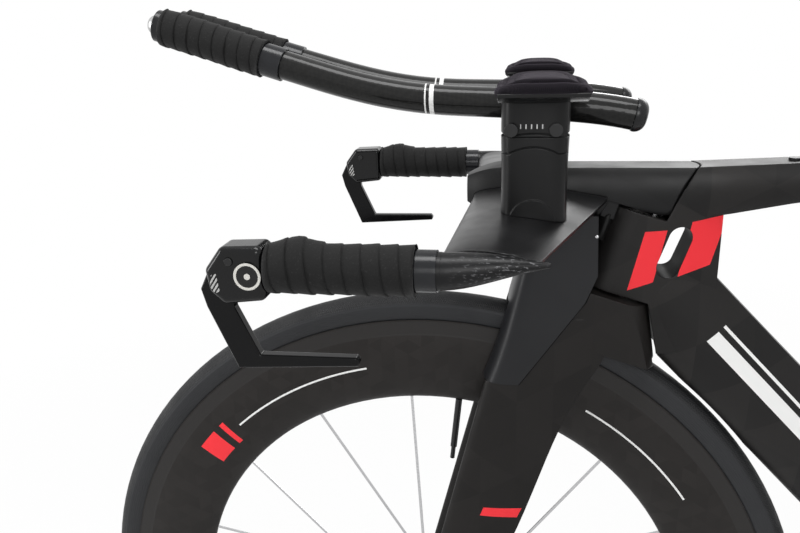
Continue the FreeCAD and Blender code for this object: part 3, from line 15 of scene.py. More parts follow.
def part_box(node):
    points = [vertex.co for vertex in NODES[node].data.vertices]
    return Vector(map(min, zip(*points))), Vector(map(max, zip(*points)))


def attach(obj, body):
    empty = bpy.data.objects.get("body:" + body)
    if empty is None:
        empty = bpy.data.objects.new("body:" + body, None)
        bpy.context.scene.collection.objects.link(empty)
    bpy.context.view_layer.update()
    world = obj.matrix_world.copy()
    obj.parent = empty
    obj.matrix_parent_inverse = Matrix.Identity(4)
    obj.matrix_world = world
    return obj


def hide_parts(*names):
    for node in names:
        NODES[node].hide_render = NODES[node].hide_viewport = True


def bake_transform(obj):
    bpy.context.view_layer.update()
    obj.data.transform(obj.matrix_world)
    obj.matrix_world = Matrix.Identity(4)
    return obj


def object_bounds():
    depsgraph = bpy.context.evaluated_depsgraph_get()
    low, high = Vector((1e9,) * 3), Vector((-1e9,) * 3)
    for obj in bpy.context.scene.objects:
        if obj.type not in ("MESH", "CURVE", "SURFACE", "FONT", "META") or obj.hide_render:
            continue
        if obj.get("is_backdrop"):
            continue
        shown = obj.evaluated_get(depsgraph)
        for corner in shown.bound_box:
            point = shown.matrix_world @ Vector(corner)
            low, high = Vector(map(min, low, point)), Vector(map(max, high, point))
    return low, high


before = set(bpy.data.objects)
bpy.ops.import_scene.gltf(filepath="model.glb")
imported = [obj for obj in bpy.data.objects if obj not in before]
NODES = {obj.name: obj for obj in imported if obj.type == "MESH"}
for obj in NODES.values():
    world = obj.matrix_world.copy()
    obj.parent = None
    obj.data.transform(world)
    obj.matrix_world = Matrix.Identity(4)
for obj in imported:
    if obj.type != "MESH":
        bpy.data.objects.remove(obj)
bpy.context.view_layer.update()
MM = 0.001

# %% [markdown]
# ## Camera
# The photograph was taken from close to the front left, a little above the bars. Its place, turn and lens were
# worked out from the wheel's ellipse and the bars, so they are plain numbers here. A camera's own axes are right,
# up and backwards, so three unit vectors make its rotation.

# %% Camera
CAMERA_PLACE = Vector((0.4150, 0.6231, 0.8928))
YAW, PITCH, ROLL = math.radians(9.84), math.radians(17.47), math.radians(-1.74)
FOCAL_PIXELS, PHOTO_WIDTH, SENSOR = 760.03, 800, 36
look = Vector((math.sin(YAW) * math.cos(PITCH), -math.cos(YAW) * math.cos(PITCH), -math.sin(PITCH)))
level = look.cross(Vector((0, 0, 1))).normalized()
right = math.cos(ROLL) * level + math.sin(ROLL) * level.cross(look)
lens = bpy.data.cameras.new("photo_camera")
lens.sensor_width = SENSOR
lens.lens = FOCAL_PIXELS / PHOTO_WIDTH * SENSOR
lens.clip_start = 0.01
camera = bpy.data.objects.new("photo_camera", lens)
turned = Matrix((right, right.cross(look), -look)).transposed().to_4x4()
camera.matrix_world = Matrix.Translation(CAMERA_PLACE) @ turned
bpy.context.scene.collection.objects.link(camera)
bpy.context.scene.camera = camera
bpy.context.scene.view_settings.view_transform = "Standard"
print("camera lens", round(lens.lens, 2), "mm")

# %% [markdown]
# ## Node trees in few words
# Every finish is a small node tree. `add` makes one node, sets its options and fills its sockets: a socket given
# as a value is linked, anything else becomes its default. `mix` blends two colours and `sums` does arithmetic.
# A moulded or machined edge is never quite sharp, so `soft_edges` bends the normals there and the edge shines.

# %% Node helpers
def add(tree, kind, inputs=None, **options):
    made = tree.nodes.new("ShaderNode" + kind)
    for option, value in options.items():
        setattr(made, option, value)
    for socket, value in (inputs or {}).items():
        if isinstance(value, bpy.types.NodeSocket):
            tree.links.new(value, made.inputs[socket])
        else:
            made.inputs[socket].default_value = value
    return made


def sums(tree, operation, a, b=0.0, c=0.0):
    return add(tree, "Math", {0: a, 1: b, 2: c}, operation=operation).outputs[0]


def mix(tree, factor, a, b):
    paint = [v if isinstance(v, bpy.types.NodeSocket) else (*v, 1) for v in (a, b)]
    return add(tree, "Mix", {0: factor, 6: paint[0], 7: paint[1]}, data_type="RGBA").outputs[2]


def place(tree):
    return add(tree, "TexCoord").outputs["Object"]


def ramp(tree, value, low, high, start=0.0, end=1.0):
    return add(tree, "MapRange", {0: value, 1: low, 2: high, 3: start, 4: end}).outputs[0]


def noise(tree, scale, detail=3.0, where=None):
    return add(tree, "TexNoise", {"Vector": where or place(tree), "Scale": scale, "Detail": detail}).outputs["Fac"]


def relief(tree, shader, height, distance, strength=1.0):
    bump = add(tree, "Bump", {"Height": height, "Distance": distance, "Strength": strength})
    below = shader.inputs["Normal"]
    if below.is_linked:
        tree.links.new(below.links[0].from_socket, bump.inputs["Normal"])
    tree.links.new(bump.outputs["Normal"], below)


def finish(name, colour, roughness, **sockets):
    made = bpy.data.materials.new(name)
    made.use_nodes = True
    shader = made.node_tree.nodes["Principled BSDF"]
    shader.inputs["Base Color"].default_value = (*colour, 1)
    shader.inputs["Roughness"].default_value = roughness
    for socket, value in sockets.items():
        shader.inputs[socket.replace("_", " ")].default_value = value
    made.diffuse_color = (*colour, 1)
    return made, made.node_tree, shader


def soft_edges(tree, shader, radius):
    """Corners catch the light as if they were rounded off by this radius."""
    eased = add(tree, "Bevel", {"Radius": radius}, samples=6)
    tree.links.new(eased.outputs["Normal"], shader.inputs["Normal"])


def side_face(tree, least=0.5):
    """1 where the surface looks to the left or right of the bike."""
    aside = add(tree, "SeparateXYZ", {0: add(tree, "TexCoord").outputs["Normal"]}).outputs[1]
    return sums(tree, "GREATER_THAN", sums(tree, "ABSOLUTE", aside), least)


def between(tree, value, low, high):
    return sums(tree, "MULTIPLY", sums(tree, "GREATER_THAN", value, low), sums(tree, "LESS_THAN", value, high))


def paint(tree, shader, colour):
    tree.links.new(colour, shader.inputs["Base Color"])


def uneven_gloss(tree, shader, low, high, scale=60.0):
    tree.links.new(ramp(tree, noise(tree, scale), 0.3, 0.7, low, high), shader.inputs["Roughness"])


def dress(made, *names):
    for name in names:
        mesh = NODES[name].data
        mesh.materials.clear()
        mesh.materials.append(made)


# %% [markdown]
# ## Floor, backdrop and lamps
# A studio cut-out has a white ground and a soft shadow. The floor shows white to the camera and to reflections,
# mixed with a little real diffuse light, so the shadow of the wheels still falls on it. The world does the same.
# Black parts show their form by reflections alone. So the lamps are soft boxes of middling size, over the bike, on
# its left and in front, and one behind it draws the far edges of the dark tubes.

# %% Floor and world
def seen_directly(tree):
    path = add(tree, "LightPath").outputs
    lit = sums(tree, "MAXIMUM", path["Is Camera Ray"], path["Is Glossy Ray"])
    return sums(tree, "MAXIMUM", lit, path["Is Transmission Ray"])


FLOOR_HALF, FLOOR_DROP, FLOOR_CORNERS = 9, 0.0005, ((-1, -1), (1, -1), (1, 1), (-1, 1))
SHADOW_NEAR, SHADOW_FAR, SHADOW_GLOW, AMBIENT = 0.7, 2.2, 0.86, 0.34
floor_mesh = bpy.data.meshes.new("studio_floor")
floor_mesh.from_pydata([(x * FLOOR_HALF, y * FLOOR_HALF, -FLOOR_DROP) for x, y in FLOOR_CORNERS], [], [(0, 1, 2, 3)])
floor = bpy.data.objects.new("studio_floor", floor_mesh)
bpy.context.scene.collection.objects.link(floor)
floor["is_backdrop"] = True
floor_paint, tree, shader = finish("pale_floor", (0.86, 0.86, 0.86), 0.9, Specular_IOR_Level=0.0)
glow = add(tree, "Emission", {"Color": (1, 1, 1, 1), "Strength": 1.0})
reach = add(tree, "VectorMath", {0: place(tree)}, operation="LENGTH").outputs["Value"]
share = sums(tree, "MULTIPLY", seen_directly(tree), ramp(tree, reach, SHADOW_NEAR, SHADOW_FAR, SHADOW_GLOW, 1.0))
blend = add(tree, "MixShader", {0: share, 1: shader.outputs[0], 2: glow.outputs[0]})
tree.links.new(blend.outputs[0], tree.nodes["Material Output"].inputs["Surface"])
floor_mesh.materials.append(floor_paint)

world = bpy.data.worlds.new("white_studio")
bpy.context.scene.world = world
world.use_nodes = True
tree = world.node_tree
strength = ramp(tree, seen_directly(tree), 0.0, 1.0, AMBIENT, 1.0)
tree.links.new(strength, tree.nodes["Background"].inputs["Strength"])
tree.nodes["Background"].inputs["Color"].default_value = (1, 1, 1, 1)
print("floor and world are set")

# %% Lamps
def soft_lamp(name, spot, target, size, watts):
    data = bpy.data.lights.new(name, "AREA")
    data.shape, data.size, data.size_y, data.energy = "RECTANGLE", size[0], size[1], watts
    lamp = bpy.data.objects.new(name, data)
    lamp.location = spot
    lamp.rotation_euler = (Vector(target) - Vector(spot)).to_track_quat("-Z", "Y").to_euler()
    bpy.context.scene.collection.objects.link(lamp)


soft_lamp("overhead_box", (0.5, 0.35, 2.7), (0.35, 0.0, 0.7), (1.6, 0.7), 34)
soft_lamp("left_box", (0.1, 2.6, 1.7), (0.2, 0.0, 0.6), (1.2, 1.0), 26)
soft_lamp("front_strip", (2.7, 0.9, 1.3), (0.4, 0.0, 0.7), (0.5, 1.6), 24)
soft_lamp("edge_box", (-0.6, -2.2, 1.9), (0.2, 0.0, 0.6), (1.8, 0.8), 26)

# %% [markdown]
# ## Moulded carbon
# The frame is carbon under a matt clear coat. On the side faces the patches of cloth show faintly as triangles.
# Three families of parallel lines cut the side view into triangles, and a random number for each triangle makes it
# a touch lighter or darker. Painted panels are drawn where they sit, as outlines in the side view. The walls of the
# window lie in deep shade, so painted shade makes them blacker, and they hardly reflect.

# %% Carbon patches and painted panels
TRIANGLE_HEIGHT = 0.866


def patches(tree, step):
    flat = add(tree, "SeparateXYZ", {0: place(tree)}).outputs
    cells = []
    for across, along in ((1.0, 0.0), (0.5, TRIANGLE_HEIGHT), (0.5, -TRIANGLE_HEIGHT)):
        reach = sums(tree, "ADD", sums(tree, "MULTIPLY", flat[0], across / step),
                     sums(tree, "MULTIPLY", flat[2], along / step))
        cells.append(sums(tree, "FLOOR", reach))
    key = add(tree, "CombineXYZ", {0: cells[0], 1: cells[1], 2: cells[2]}).outputs[0]
    return add(tree, "TexWhiteNoise", {"Vector": key}, noise_dimensions="3D").outputs["Value"]


def panel(tree, corners):
    """1 inside a convex outline of (x, z) points in metres."""
    where, inside = place(tree), None
    middle = Vector((sum(c[0] for c in corners), sum(c[1] for c in corners))) / len(corners)
    for a, b in zip(corners, corners[1:] + corners[:1]):
        start, out = Vector(a), Vector((a[1] - b[1], b[0] - a[0])).normalized()
        out = out if out.dot(middle - start) > 0 else -out
        reach = add(tree, "VectorMath", {0: where, 1: (out.x, 0, out.y)}, operation="DOT_PRODUCT").outputs["Value"]
        edge = sums(tree, "GREATER_THAN", reach, out.dot(start))
        inside = edge if inside is None else sums(tree, "MULTIPLY", inside, edge)
    return inside


CARBON_DARK, CARBON_LIGHT = (0.0070, 0.0066, 0.0066), (0.0150, 0.0138, 0.0132)
CARBON_MIRROR, WALL_MIRROR, WALL_PAINTED_SHADE = 0.2, 0.02, (0.0012, 0.0012, 0.0012)
PANEL_RED, STRIPE_WHITE = (0.86, 0.034, 0.045), (0.8, 0.8, 0.79)
FRAME_PANELS = ([(0.323, 0.734), (0.306, 0.735), (0.314, 0.692), (0.334, 0.685)],
                [(0.287, 0.741), (0.259, 0.746), (0.270, 0.705), (0.295, 0.696)])
WINDOW = [(0.321, 0.742), (0.276, 0.742), (0.276, 0.690), (0.321, 0.690)]
STRIPES = ([(0.2684, 0.6419), (-0.0036, 0.3549), (-0.0124, 0.3631), (0.2596, 0.6501)],
           [(0.2560, 0.6536), (-0.0160, 0.3666), (-0.0178, 0.3683), (0.2542, 0.6553)])


def matt_carbon(name, dark, light, step, panels=(), stripes=(), shade_hollows=()):
    made, tree, shader = finish(name, dark, 0.45, Specular_IOR_Level=CARBON_MIRROR)
    soft_edges(tree, shader, 0.0015)
    skin, outside = mix(tree, patches(tree, step), dark, light), side_face(tree)
    for outline in panels:
        skin = mix(tree, sums(tree, "MULTIPLY", panel(tree, outline), outside), skin, PANEL_RED)
    for outline in stripes:
        skin = mix(tree, sums(tree, "MULTIPLY", panel(tree, outline), outside), skin, STRIPE_WHITE)
    # painted shade: the walls inside the window are painted near black and reflect less, standing in for the shade
    # they lie in
    for outline in shade_hollows:
        painted_shade = sums(tree, "MULTIPLY", panel(tree, outline), sums(tree, "SUBTRACT", 1.0, outside))
        skin = mix(tree, painted_shade, skin, WALL_PAINTED_SHADE)
        mirror = sums(tree, "MULTIPLY_ADD", painted_shade, WALL_MIRROR - CARBON_MIRROR, CARBON_MIRROR)
        tree.links.new(mirror, shader.inputs["Specular IOR Level"])
    paint(tree, shader, skin)
    uneven_gloss(tree, shader, 0.38, 0.50, 35)
    relief(tree, shader, noise(tree, 2600, 2), 0.00003, 0.6)
    return made


FORK_BAND = [(0.447, 0.489), (0.414, 0.488), (0.418, 0.479), (0.450, 0.481)]
dress(matt_carbon("frame_carbon", CARBON_DARK, CARBON_LIGHT, 0.046, FRAME_PANELS, STRIPES, [WINDOW]), "frame")
dress(matt_carbon("stay_carbon", CARBON_DARK, CARBON_LIGHT, 0.046), "rear_stays", "seatpost")
dress(matt_carbon("fork_carbon", (0.0062, 0.0053, 0.0049), (0.0098, 0.0085, 0.0079), 0.03, [FORK_BAND]), "fork")
dress(matt_carbon("stem_carbon", (0.0058, 0.0058, 0.0060), (0.0075, 0.0075, 0.0078), 0.05), "stem")
print("moulded carbon on frame, stays, post, fork and stem")

# %% [markdown]
# ## Satin covers and the wing
# The cover over the front brake is a satin moulding with a cool tint. The wing of the bar is painted, with small
# scuffs on its tail where hands and tools have rubbed it, and its lacquer shines more towards the front edge. Scuffs
# are the bright tops of a stretched noise, and spans along and across the bike say where they lie.

# %% Cover and wing
TAIL_BACK, TAIL_FRONT, TAIL_ASIDE = (0.400, 0.410), (0.462, 0.432), (0.182, 0.190)
LACQUER_AHEAD, LACQUER_INSIDE, LACQUER_LEAST, LACQUER_MORE = (0.400, 0.455), (0.182, 0.150), 0.2, 0.8


def satin_cover():
    made, tree, shader = finish("nose_cover_satin", (0.0080, 0.0083, 0.0095), 0.38, Specular_IOR_Level=0.25)
    soft_edges(tree, shader, 0.001)
    paint(tree, shader, mix(tree, noise(tree, 18), (0.0070, 0.0072, 0.0084), (0.0100, 0.0104, 0.0120)))
    uneven_gloss(tree, shader, 0.33, 0.43, 50)
    relief(tree, shader, noise(tree, 1800, 2), 0.00003, 0.5)
    return made


def wing_paint():
    made, tree, shader = finish("wing_paint", (0.006, 0.006, 0.0065), 0.42, Specular_IOR_Level=0.24)
    soft_edges(tree, shader, 0.001)
    stretched = add(tree, "Mapping", {"Vector": place(tree), "Scale": (330, 900, 900)}).outputs[0]
    scuffs = ramp(tree, noise(tree, 1.0, 4, stretched), 0.58, 0.66)
    flat = add(tree, "SeparateXYZ", {0: place(tree)}).outputs
    aside = sums(tree, "ABSOLUTE", flat[1])
    tail = sums(tree, "MULTIPLY", ramp(tree, flat[0], *TAIL_BACK), ramp(tree, flat[0], *TAIL_FRONT))
    tail = sums(tree, "MULTIPLY", tail, ramp(tree, aside, *TAIL_ASIDE))
    skin = mix(tree, sums(tree, "MULTIPLY", scuffs, tail), (0.0056, 0.0056, 0.0061), (0.13, 0.13, 0.135))
    paint(tree, shader, skin)
    front = sums(tree, "MULTIPLY", ramp(tree, flat[0], *LACQUER_AHEAD), ramp(tree, aside, *LACQUER_INSIDE))
    lacquer = sums(tree, "MULTIPLY_ADD", front, LACQUER_MORE, LACQUER_LEAST)
    tree.links.new(lacquer, shader.inputs["Specular IOR Level"])
    uneven_gloss(tree, shader, 0.28, 0.40, 40)
    return made


dress(satin_cover(), "nose_cover")
dress(wing_paint(), "base_bar")
print("satin cover and wing paint done")

# %% [markdown]
# ## Gloss carbon
# The extension bars and crank arms are lacquered. Two crossing sets of bands make the twill under the lacquer, and
# the clear coat gives the long sharp highlight that a round bar shows under a soft box. Two pale rings mark the bars.

# %% Gloss carbon
BAR_RINGS, RING_WHITE = ((0.4860, 0.4895), (0.4920, 0.4932)), (0.72, 0.72, 0.71)


def gloss_carbon(name, rings=()):
    made, tree, shader = finish(name, (0.004, 0.004, 0.004), 0.4, Specular_IOR_Level=0.10,
                                Coat_Weight=1.0, Coat_Roughness=0.05, Coat_IOR=1.25)
    soft_edges(tree, shader, 0.0008)
    twill = add(tree, "Mapping", {"Vector": place(tree), "Rotation": (0.6, 0.5, math.pi / 4)}).outputs[0]
    weave = add(tree, "TexChecker", {"Vector": twill, "Scale": 330}).outputs["Fac"]
    skin = mix(tree, weave, (0.0034, 0.0034, 0.0032), (0.0066, 0.0064, 0.0060))
    along = add(tree, "SeparateXYZ", {0: place(tree)}).outputs[0]
    for low, high in rings:
        skin = mix(tree, between(tree, along, low, high), skin, RING_WHITE)
    paint(tree, shader, skin)
    return made


dress(gloss_carbon("bar_lacquer", BAR_RINGS), "extensions")
dress(gloss_carbon("crank_lacquer"), "crank_arm_left", "crank_arm_right")
print("gloss carbon on extensions and cranks")

# %% [markdown]
# ## Wheels
# A rim, a tyre and a set of spokes all follow circles about one axle, so their finishes read the distance from
# that axle. The rim has a plain brake track at its edge and a few plain stripes, each a span of angles and a span of
# distances. The tyre has a fine file tread and smooth sides.

# %% Wheel finishes
WHEELS = {"front": Vector((0.4975, 0, 0.336)), "rear": Vector((-0.4975, 0, 0.336))}


def about_axle(tree, axle):
    """Distance from the axle, angle round it and place along it."""
    arm = add(tree, "VectorMath", {0: place(tree), 1: axle}, operation="SUBTRACT").outputs[0]
    flat = add(tree, "SeparateXYZ", {0: arm}).outputs
    reach = sums(tree, "SQRT", sums(tree, "ADD", sums(tree, "MULTIPLY", flat[0], flat[0]),
                                    sums(tree, "MULTIPLY", flat[2], flat[2])))
    return reach, sums(tree, "ARCTAN2", flat[2], flat[0]), flat[1]


MARK_WHITE = (0.78, 0.78, 0.77)
RIM_MARKS = ((0.66, 0.74, 0.258, 0.284, PANEL_RED), (0.77, 0.79, 0.258, 0.284, PANEL_RED),
             (0.83, 1.36, 0.2700, 0.2718, MARK_WHITE), (2.10, 2.55, 0.2700, 0.2718, MARK_WHITE))
BRAKE_TRACK, TREAD_EDGE = (0.2985, 0.3110), (0.3275, 0.3290)


def rim_satin(name, axle):
    made, tree, shader = finish(name, (0.014, 0.012, 0.011), 0.42, Specular_IOR_Level=0.2)
    reach, turn, _ = about_axle(tree, axle)
    cloth = mix(tree, patches(tree, 0.012), (0.0118, 0.0102, 0.0094), (0.0165, 0.0145, 0.0134))
    track = between(tree, reach, *BRAKE_TRACK)
    skin = mix(tree, track, cloth, (0.021, 0.0195, 0.0188))
    for start, end, low, high, colour in RIM_MARKS:
        mark = sums(tree, "MULTIPLY", between(tree, turn, start, end), between(tree, reach, low, high))
        skin = mix(tree, mark, skin, colour)
    paint(tree, shader, skin)
    rings = sums(tree, "SINE", sums(tree, "MULTIPLY", reach, 9000))
    relief(tree, shader, sums(tree, "MULTIPLY", rings, track), 0.00003, 0.5)
    uneven_gloss(tree, shader, 0.36, 0.46, 30)
    return made


def tyre_rubber(name, axle):
    made, tree, shader = finish(name, (0.0130, 0.0136, 0.0152), 0.5, Specular_IOR_Level=0.3)
    reach, turn, across = about_axle(tree, axle)
    tread = ramp(tree, reach, *TREAD_EDGE)
    cross = sums(tree, "MULTIPLY", sums(tree, "SINE", sums(tree, "MULTIPLY", turn, 1100)),
                 sums(tree, "SINE", sums(tree, "MULTIPLY", across, 2900)))
    moulded = sums(tree, "SINE", sums(tree, "MULTIPLY", reach, 3300))
    paint(tree, shader, mix(tree, tread, (0.0165, 0.0172, 0.0192), (0.0085, 0.0088, 0.0098)))
    relief(tree, shader, sums(tree, "MULTIPLY", cross, tread), 0.0003, 0.6)
    relief(tree, shader, moulded, 0.00008, 0.5)
    uneven_gloss(tree, shader, 0.46, 0.62, 45)
    return made


for end, axle in WHEELS.items():
    dress(rim_satin(f"{end}_rim_carbon", axle), f"{end}_rim")
    dress(tyre_rubber(f"{end}_tyre_rubber", axle), f"{end}_tyre")
print("rims and tyres done")

# %% [markdown]
# ## Metals and mouldings
# Bright steel has fine brush lines, black anodised metal has a grey sheen with a little uneven gloss, and moulded
# plastic has a fine grain. Each is one function, so that the colour of a piece is its only choice.

# %% Metals
def brushed_metal(name, colour, low, high, lines=(900, 60, 900)):
    made, tree, shader = finish(name, colour, low, Metallic=1.0)
    streaks = add(tree, "Mapping", {"Vector": place(tree), "Scale": lines}).outputs[0]
    lay = noise(tree, 1.0, 3, streaks)
    paint(tree, shader, mix(tree, ramp(tree, lay, 0.3, 0.7), tuple(c * 0.82 for c in colour), colour))
    tree.links.new(ramp(tree, lay, 0.3, 0.7, low, high), shader.inputs["Roughness"])
    relief(tree, shader, lay, 0.00002, 0.4)
    return made


def black_metal(name, colour=(0.008, 0.008, 0.0085), low=0.28, high=0.40, shine=0.35):
    made, tree, shader = finish(name, colour, low, Specular_IOR_Level=shine)
    soft_edges(tree, shader, 0.0006)
    paint(tree, shader, mix(tree, noise(tree, 45), tuple(c * 0.8 for c in colour), tuple(c * 1.25 for c in colour)))
    uneven_gloss(tree, shader, low, high, 120)
    relief(tree, shader, noise(tree, 1500, 2), 0.00002, 0.5)
    return made


def moulded_plastic(name, colour, low, high, grain):
    made, tree, shader = finish(name, colour, low, Specular_IOR_Level=0.25)
    soft_edges(tree, shader, 0.0008)
    paint(tree, shader, mix(tree, noise(tree, 25), tuple(c * 0.85 for c in colour), tuple(c * 1.15 for c in colour)))
    uneven_gloss(tree, shader, low, high, 90)
    relief(tree, shader, noise(tree, grain, 2), 0.00005, 0.7)
    return made


def all_four(piece):
    """The names of a piece that each brake has on both its sides."""
    return [f"{end}_{piece}_{side}" for end in ("front", "rear") for side in ("left", "right")]


bright_steel = brushed_metal("bright_steel", (0.56, 0.56, 0.57), 0.22, 0.36)
dress(bright_steel, "front_spokes_set", "rear_spokes_set", "front_axle", "rear_axle", "headset_bearings",
      "saddle_rails", "cassette", "crank_spindle")
satin_silver = brushed_metal("satin_silver", (0.50, 0.50, 0.50), 0.30, 0.42)
dress(satin_silver, "shift_button_left", "shift_button_right")
black_alloy = black_metal("black_alloy")
dress(black_alloy, "cockpit_bolts", "frame_bolts", "front_hub", "rear_hub", "front_valve", "rear_valve",
      "bottom_bracket_cups", "saddle_clamp", "chainring", "derailleur_body", "derailleur_cage",
      *all_four("brake_arm"))
dress(black_metal("lever_black", (0.0026, 0.0026, 0.0029), 0.14, 0.22, 0.16), "lever_blade_left", "lever_blade_right")
print("metals done")

# %% Mouldings
dress(moulded_plastic("matt_black_plastic", (0.0062, 0.0062, 0.0066), 0.34, 0.46, 1600), "saddle_shell",
      "guide_pulley", "tension_pulley")
dress(moulded_plastic("cup_gloss", (0.0040, 0.0040, 0.0043), 0.14, 0.24, 500), "arm_cups")
dress(moulded_plastic("plug_gloss", (0.0090, 0.0092, 0.0100), 0.22, 0.32, 700), "extension_ends")
dress(moulded_plastic("band_gloss", (0.0120, 0.0126, 0.0145), 0.14, 0.26, 240), "finishing_bands")
dress(moulded_plastic("shoe_rubber", (0.02, 0.02, 0.02), 0.6, 0.75, 900), *all_four("brake_shoe"))
print("mouldings done")

# %% [markdown]
# The arm rests stand on spacers of satin plastic, and the clamp above them has a short scale for setting the bars.
# The joints are in the CAD model. The scale is a row of ticks: the fraction of the length along it, cut at a fifth.
# It is given as its start and end along the bike, its low and high edge, and the pitch of its ticks.

# %% Spacers and clamps
CLAMP_SCALE, TICK_SHARE, TICK_GREY = (0.4055, 0.4205, 0.8262, 0.8292, 0.0036), 0.22, (0.6, 0.6, 0.6)


def spacer_plastic(name, scale=None):
    made, tree, shader = finish(name, (0.0045, 0.0045, 0.0048), 0.36, Specular_IOR_Level=0.22)
    soft_edges(tree, shader, 0.0012)
    skin = mix(tree, noise(tree, 25), (0.0038, 0.0038, 0.0041), (0.0055, 0.0055, 0.0058))
    if scale:
        flat = add(tree, "SeparateXYZ", {0: place(tree)}).outputs
        start, end, low, high, pitch = scale
        step = sums(tree, "FRACT", sums(tree, "MULTIPLY", sums(tree, "SUBTRACT", flat[0], start), 1 / pitch))
        ticks = sums(tree, "MULTIPLY", sums(tree, "LESS_THAN", step, TICK_SHARE), between(tree, flat[0], start, end))
        ticks = sums(tree, "MULTIPLY", ticks, between(tree, flat[2], low, high))
        skin = mix(tree, sums(tree, "MULTIPLY", ticks, side_face(tree, 0.9)), skin, TICK_GREY)
    paint(tree, shader, skin)
    uneven_gloss(tree, shader, 0.28, 0.38, 90)
    relief(tree, shader, noise(tree, 1600, 2), 0.00003, 0.5)
    return made


dress(spacer_plastic("spacer_plastic"), "arm_rest_risers")
dress(spacer_plastic("clamp_plastic", CLAMP_SCALE), "extension_clamps")
print("spacers and clamps done")

# %% [markdown]
# The lever bodies are black and very glossy. A badge with a pale ring sits on each, and in front of it a bit of
# the bright mechanism shows. The ring is a span of distances from the middle of the badge.

# %% Lever bodies and badges
HOOD_BLACK, MECHANISM_GREY = (0.0022, 0.0022, 0.0025), (0.45, 0.45, 0.44)
BADGE_BLACK, BADGE_PALE = (0.004, 0.004, 0.004), (0.62, 0.61, 0.57)
RING_INSIDE, RING_OUTSIDE, DOT_OUTSIDE = 0.78, 0.97, 0.22


def hood_gloss(mechanism):
    made, tree, shader = finish("hood_gloss", HOOD_BLACK, 0.14, Specular_IOR_Level=0.28)
    soft_edges(tree, shader, 0.0012)
    shows = sums(tree, "MULTIPLY", panel(tree, mechanism), side_face(tree))
    slant = add(tree, "VectorMath", {0: place(tree), 1: (1.0, 0, 0.7)}, operation="DOT_PRODUCT").outputs["Value"]
    ribs = sums(tree, "GREATER_THAN", sums(tree, "SINE", sums(tree, "MULTIPLY", slant, 2300)), -0.1)
    paint(tree, shader, mix(tree, sums(tree, "MULTIPLY", shows, ribs), HOOD_BLACK, MECHANISM_GREY))
    uneven_gloss(tree, shader, 0.10, 0.18, 90)
    relief(tree, shader, noise(tree, 500, 2), 0.00004, 0.5)
    return made


def ringed_badge(centre, radius):
    made, tree, shader = finish("ringed_badge", BADGE_BLACK, 0.25, Specular_IOR_Level=0.35)
    reach, _, _ = about_axle(tree, centre)
    ring = between(tree, reach, RING_INSIDE * radius, RING_OUTSIDE * radius)
    dot = sums(tree, "LESS_THAN", reach, DOT_OUTSIDE * radius)
    paint(tree, shader, mix(tree, sums(tree, "MAXIMUM", ring, dot), BADGE_BLACK, BADGE_PALE))
    uneven_gloss(tree, shader, 0.20, 0.32, 200)
    return made


MECHANISM = [(0.6062, 0.7505), (0.6030, 0.7515), (0.6015, 0.7400), (0.6050, 0.7385), (0.6078, 0.7430)]
dress(hood_gloss(MECHANISM), "lever_bodies")
badge_low, badge_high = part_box("lever_badges")
badge_middle = (badge_low + badge_high) / 2
dress(ringed_badge(badge_middle, (badge_high.x - badge_low.x) / 2), "lever_badges")
print("lever bodies and badges done")

# %% [markdown]
# ## Building new pieces
# The wound tape, the stitches and the chain are meshes made from lists of points. `new_piece` makes the object,
# gives it its finish and lets it ride on a body of the bike, so that it turns with the bars or stays on the frame.
# The chain runs round the cage are given none. `swept` closes a skin over rows of points, and `gather` puts
# many such skins into one mesh.

# %% Helpers for new pieces
def new_piece(name, points, faces, made, body, slot):
    mesh = bpy.data.meshes.new(name)
    mesh.from_pydata(points, [], faces)
    mesh.validate()
    mesh.materials.append(made)
    mesh.polygons.foreach_set("use_smooth", [True] * len(mesh.polygons))
    piece = bpy.data.objects.new(name, mesh)
    bpy.context.scene.collection.objects.link(piece)
    if body:
        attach(piece, body)
    return piece


def swept(rows, closed_rows=False):
    """Faces between rows of points that all have the same count, each row a closed ring."""
    count, faces = len(rows[0]), []
    for i in range(len(rows) if closed_rows else len(rows) - 1):
        below, above = i * count, (i + 1) % len(rows) * count
        for j in range(count):
            k = (j + 1) % count
            faces.append((below + j, below + k, above + k, above + j))
    if not closed_rows:
        faces += [tuple(reversed(range(count))), tuple(range((len(rows) - 1) * count, len(rows) * count))]
    return [p for row in rows for p in row], faces


def gather(points, faces, rows):
    """Adds one swept skin to the lists of a mesh that has many."""
    more, joined = swept(rows)
    faces += [tuple(len(points) + i for i in face) for face in joined]
    points += more


def around(count):
    """Even angles round a circle."""
    return [2 * math.pi * k / count for k in range(count)]


# %% [markdown]
# ## Small trim at the head
# A rubber lip under the stem keeps water out of the head tube. It is a part of a ring about the steering axis, so it
# is swept from a small section. Each side of the nose cover has one screw near its rear edge: a ray cast on to the
# cover finds its place, and a low dome is its head.

# %% Head seal and cover screws
STEER_TOP, STEER_UP = Vector((0.32753, 0, 0.7483)), Vector((-0.292372, 0, 0.956305))
STEER_AHEAD = Vector((STEER_UP.z, 0, -STEER_UP.x))
SEAL_SECTION = ((24.7, -31), (29, -30), (30, -27), (30, -10), (28.5, -8), (24.7, -8))
SEAL_SPREAD, SEAL_STEPS = 42, 24
SCREW_X, SCREW_Z, SCREW_OUTSIDE = 0.3601, 0.7313, 0.2
SCREW_SECTION = ((1.5, -0.3), (1.5, 0.25), (1.2, 0.6), (0.5, 0.8))
rows = []
for i in range(SEAL_STEPS + 1):
    angle = math.radians(SEAL_SPREAD * (2 * i / SEAL_STEPS - 1))
    out = STEER_AHEAD * math.cos(angle) + Vector((0, 1, 0)) * math.sin(angle)
    rows.append([STEER_TOP + out * (r * MM) + STEER_UP * (z * MM) for r, z in SEAL_SECTION])
seal_rubber = moulded_plastic("seal_rubber", (0.0045, 0.0045, 0.0045), 0.55, 0.7, 900)
new_piece("head_seal", *swept(rows), seal_rubber, "steering", "black_plastic")

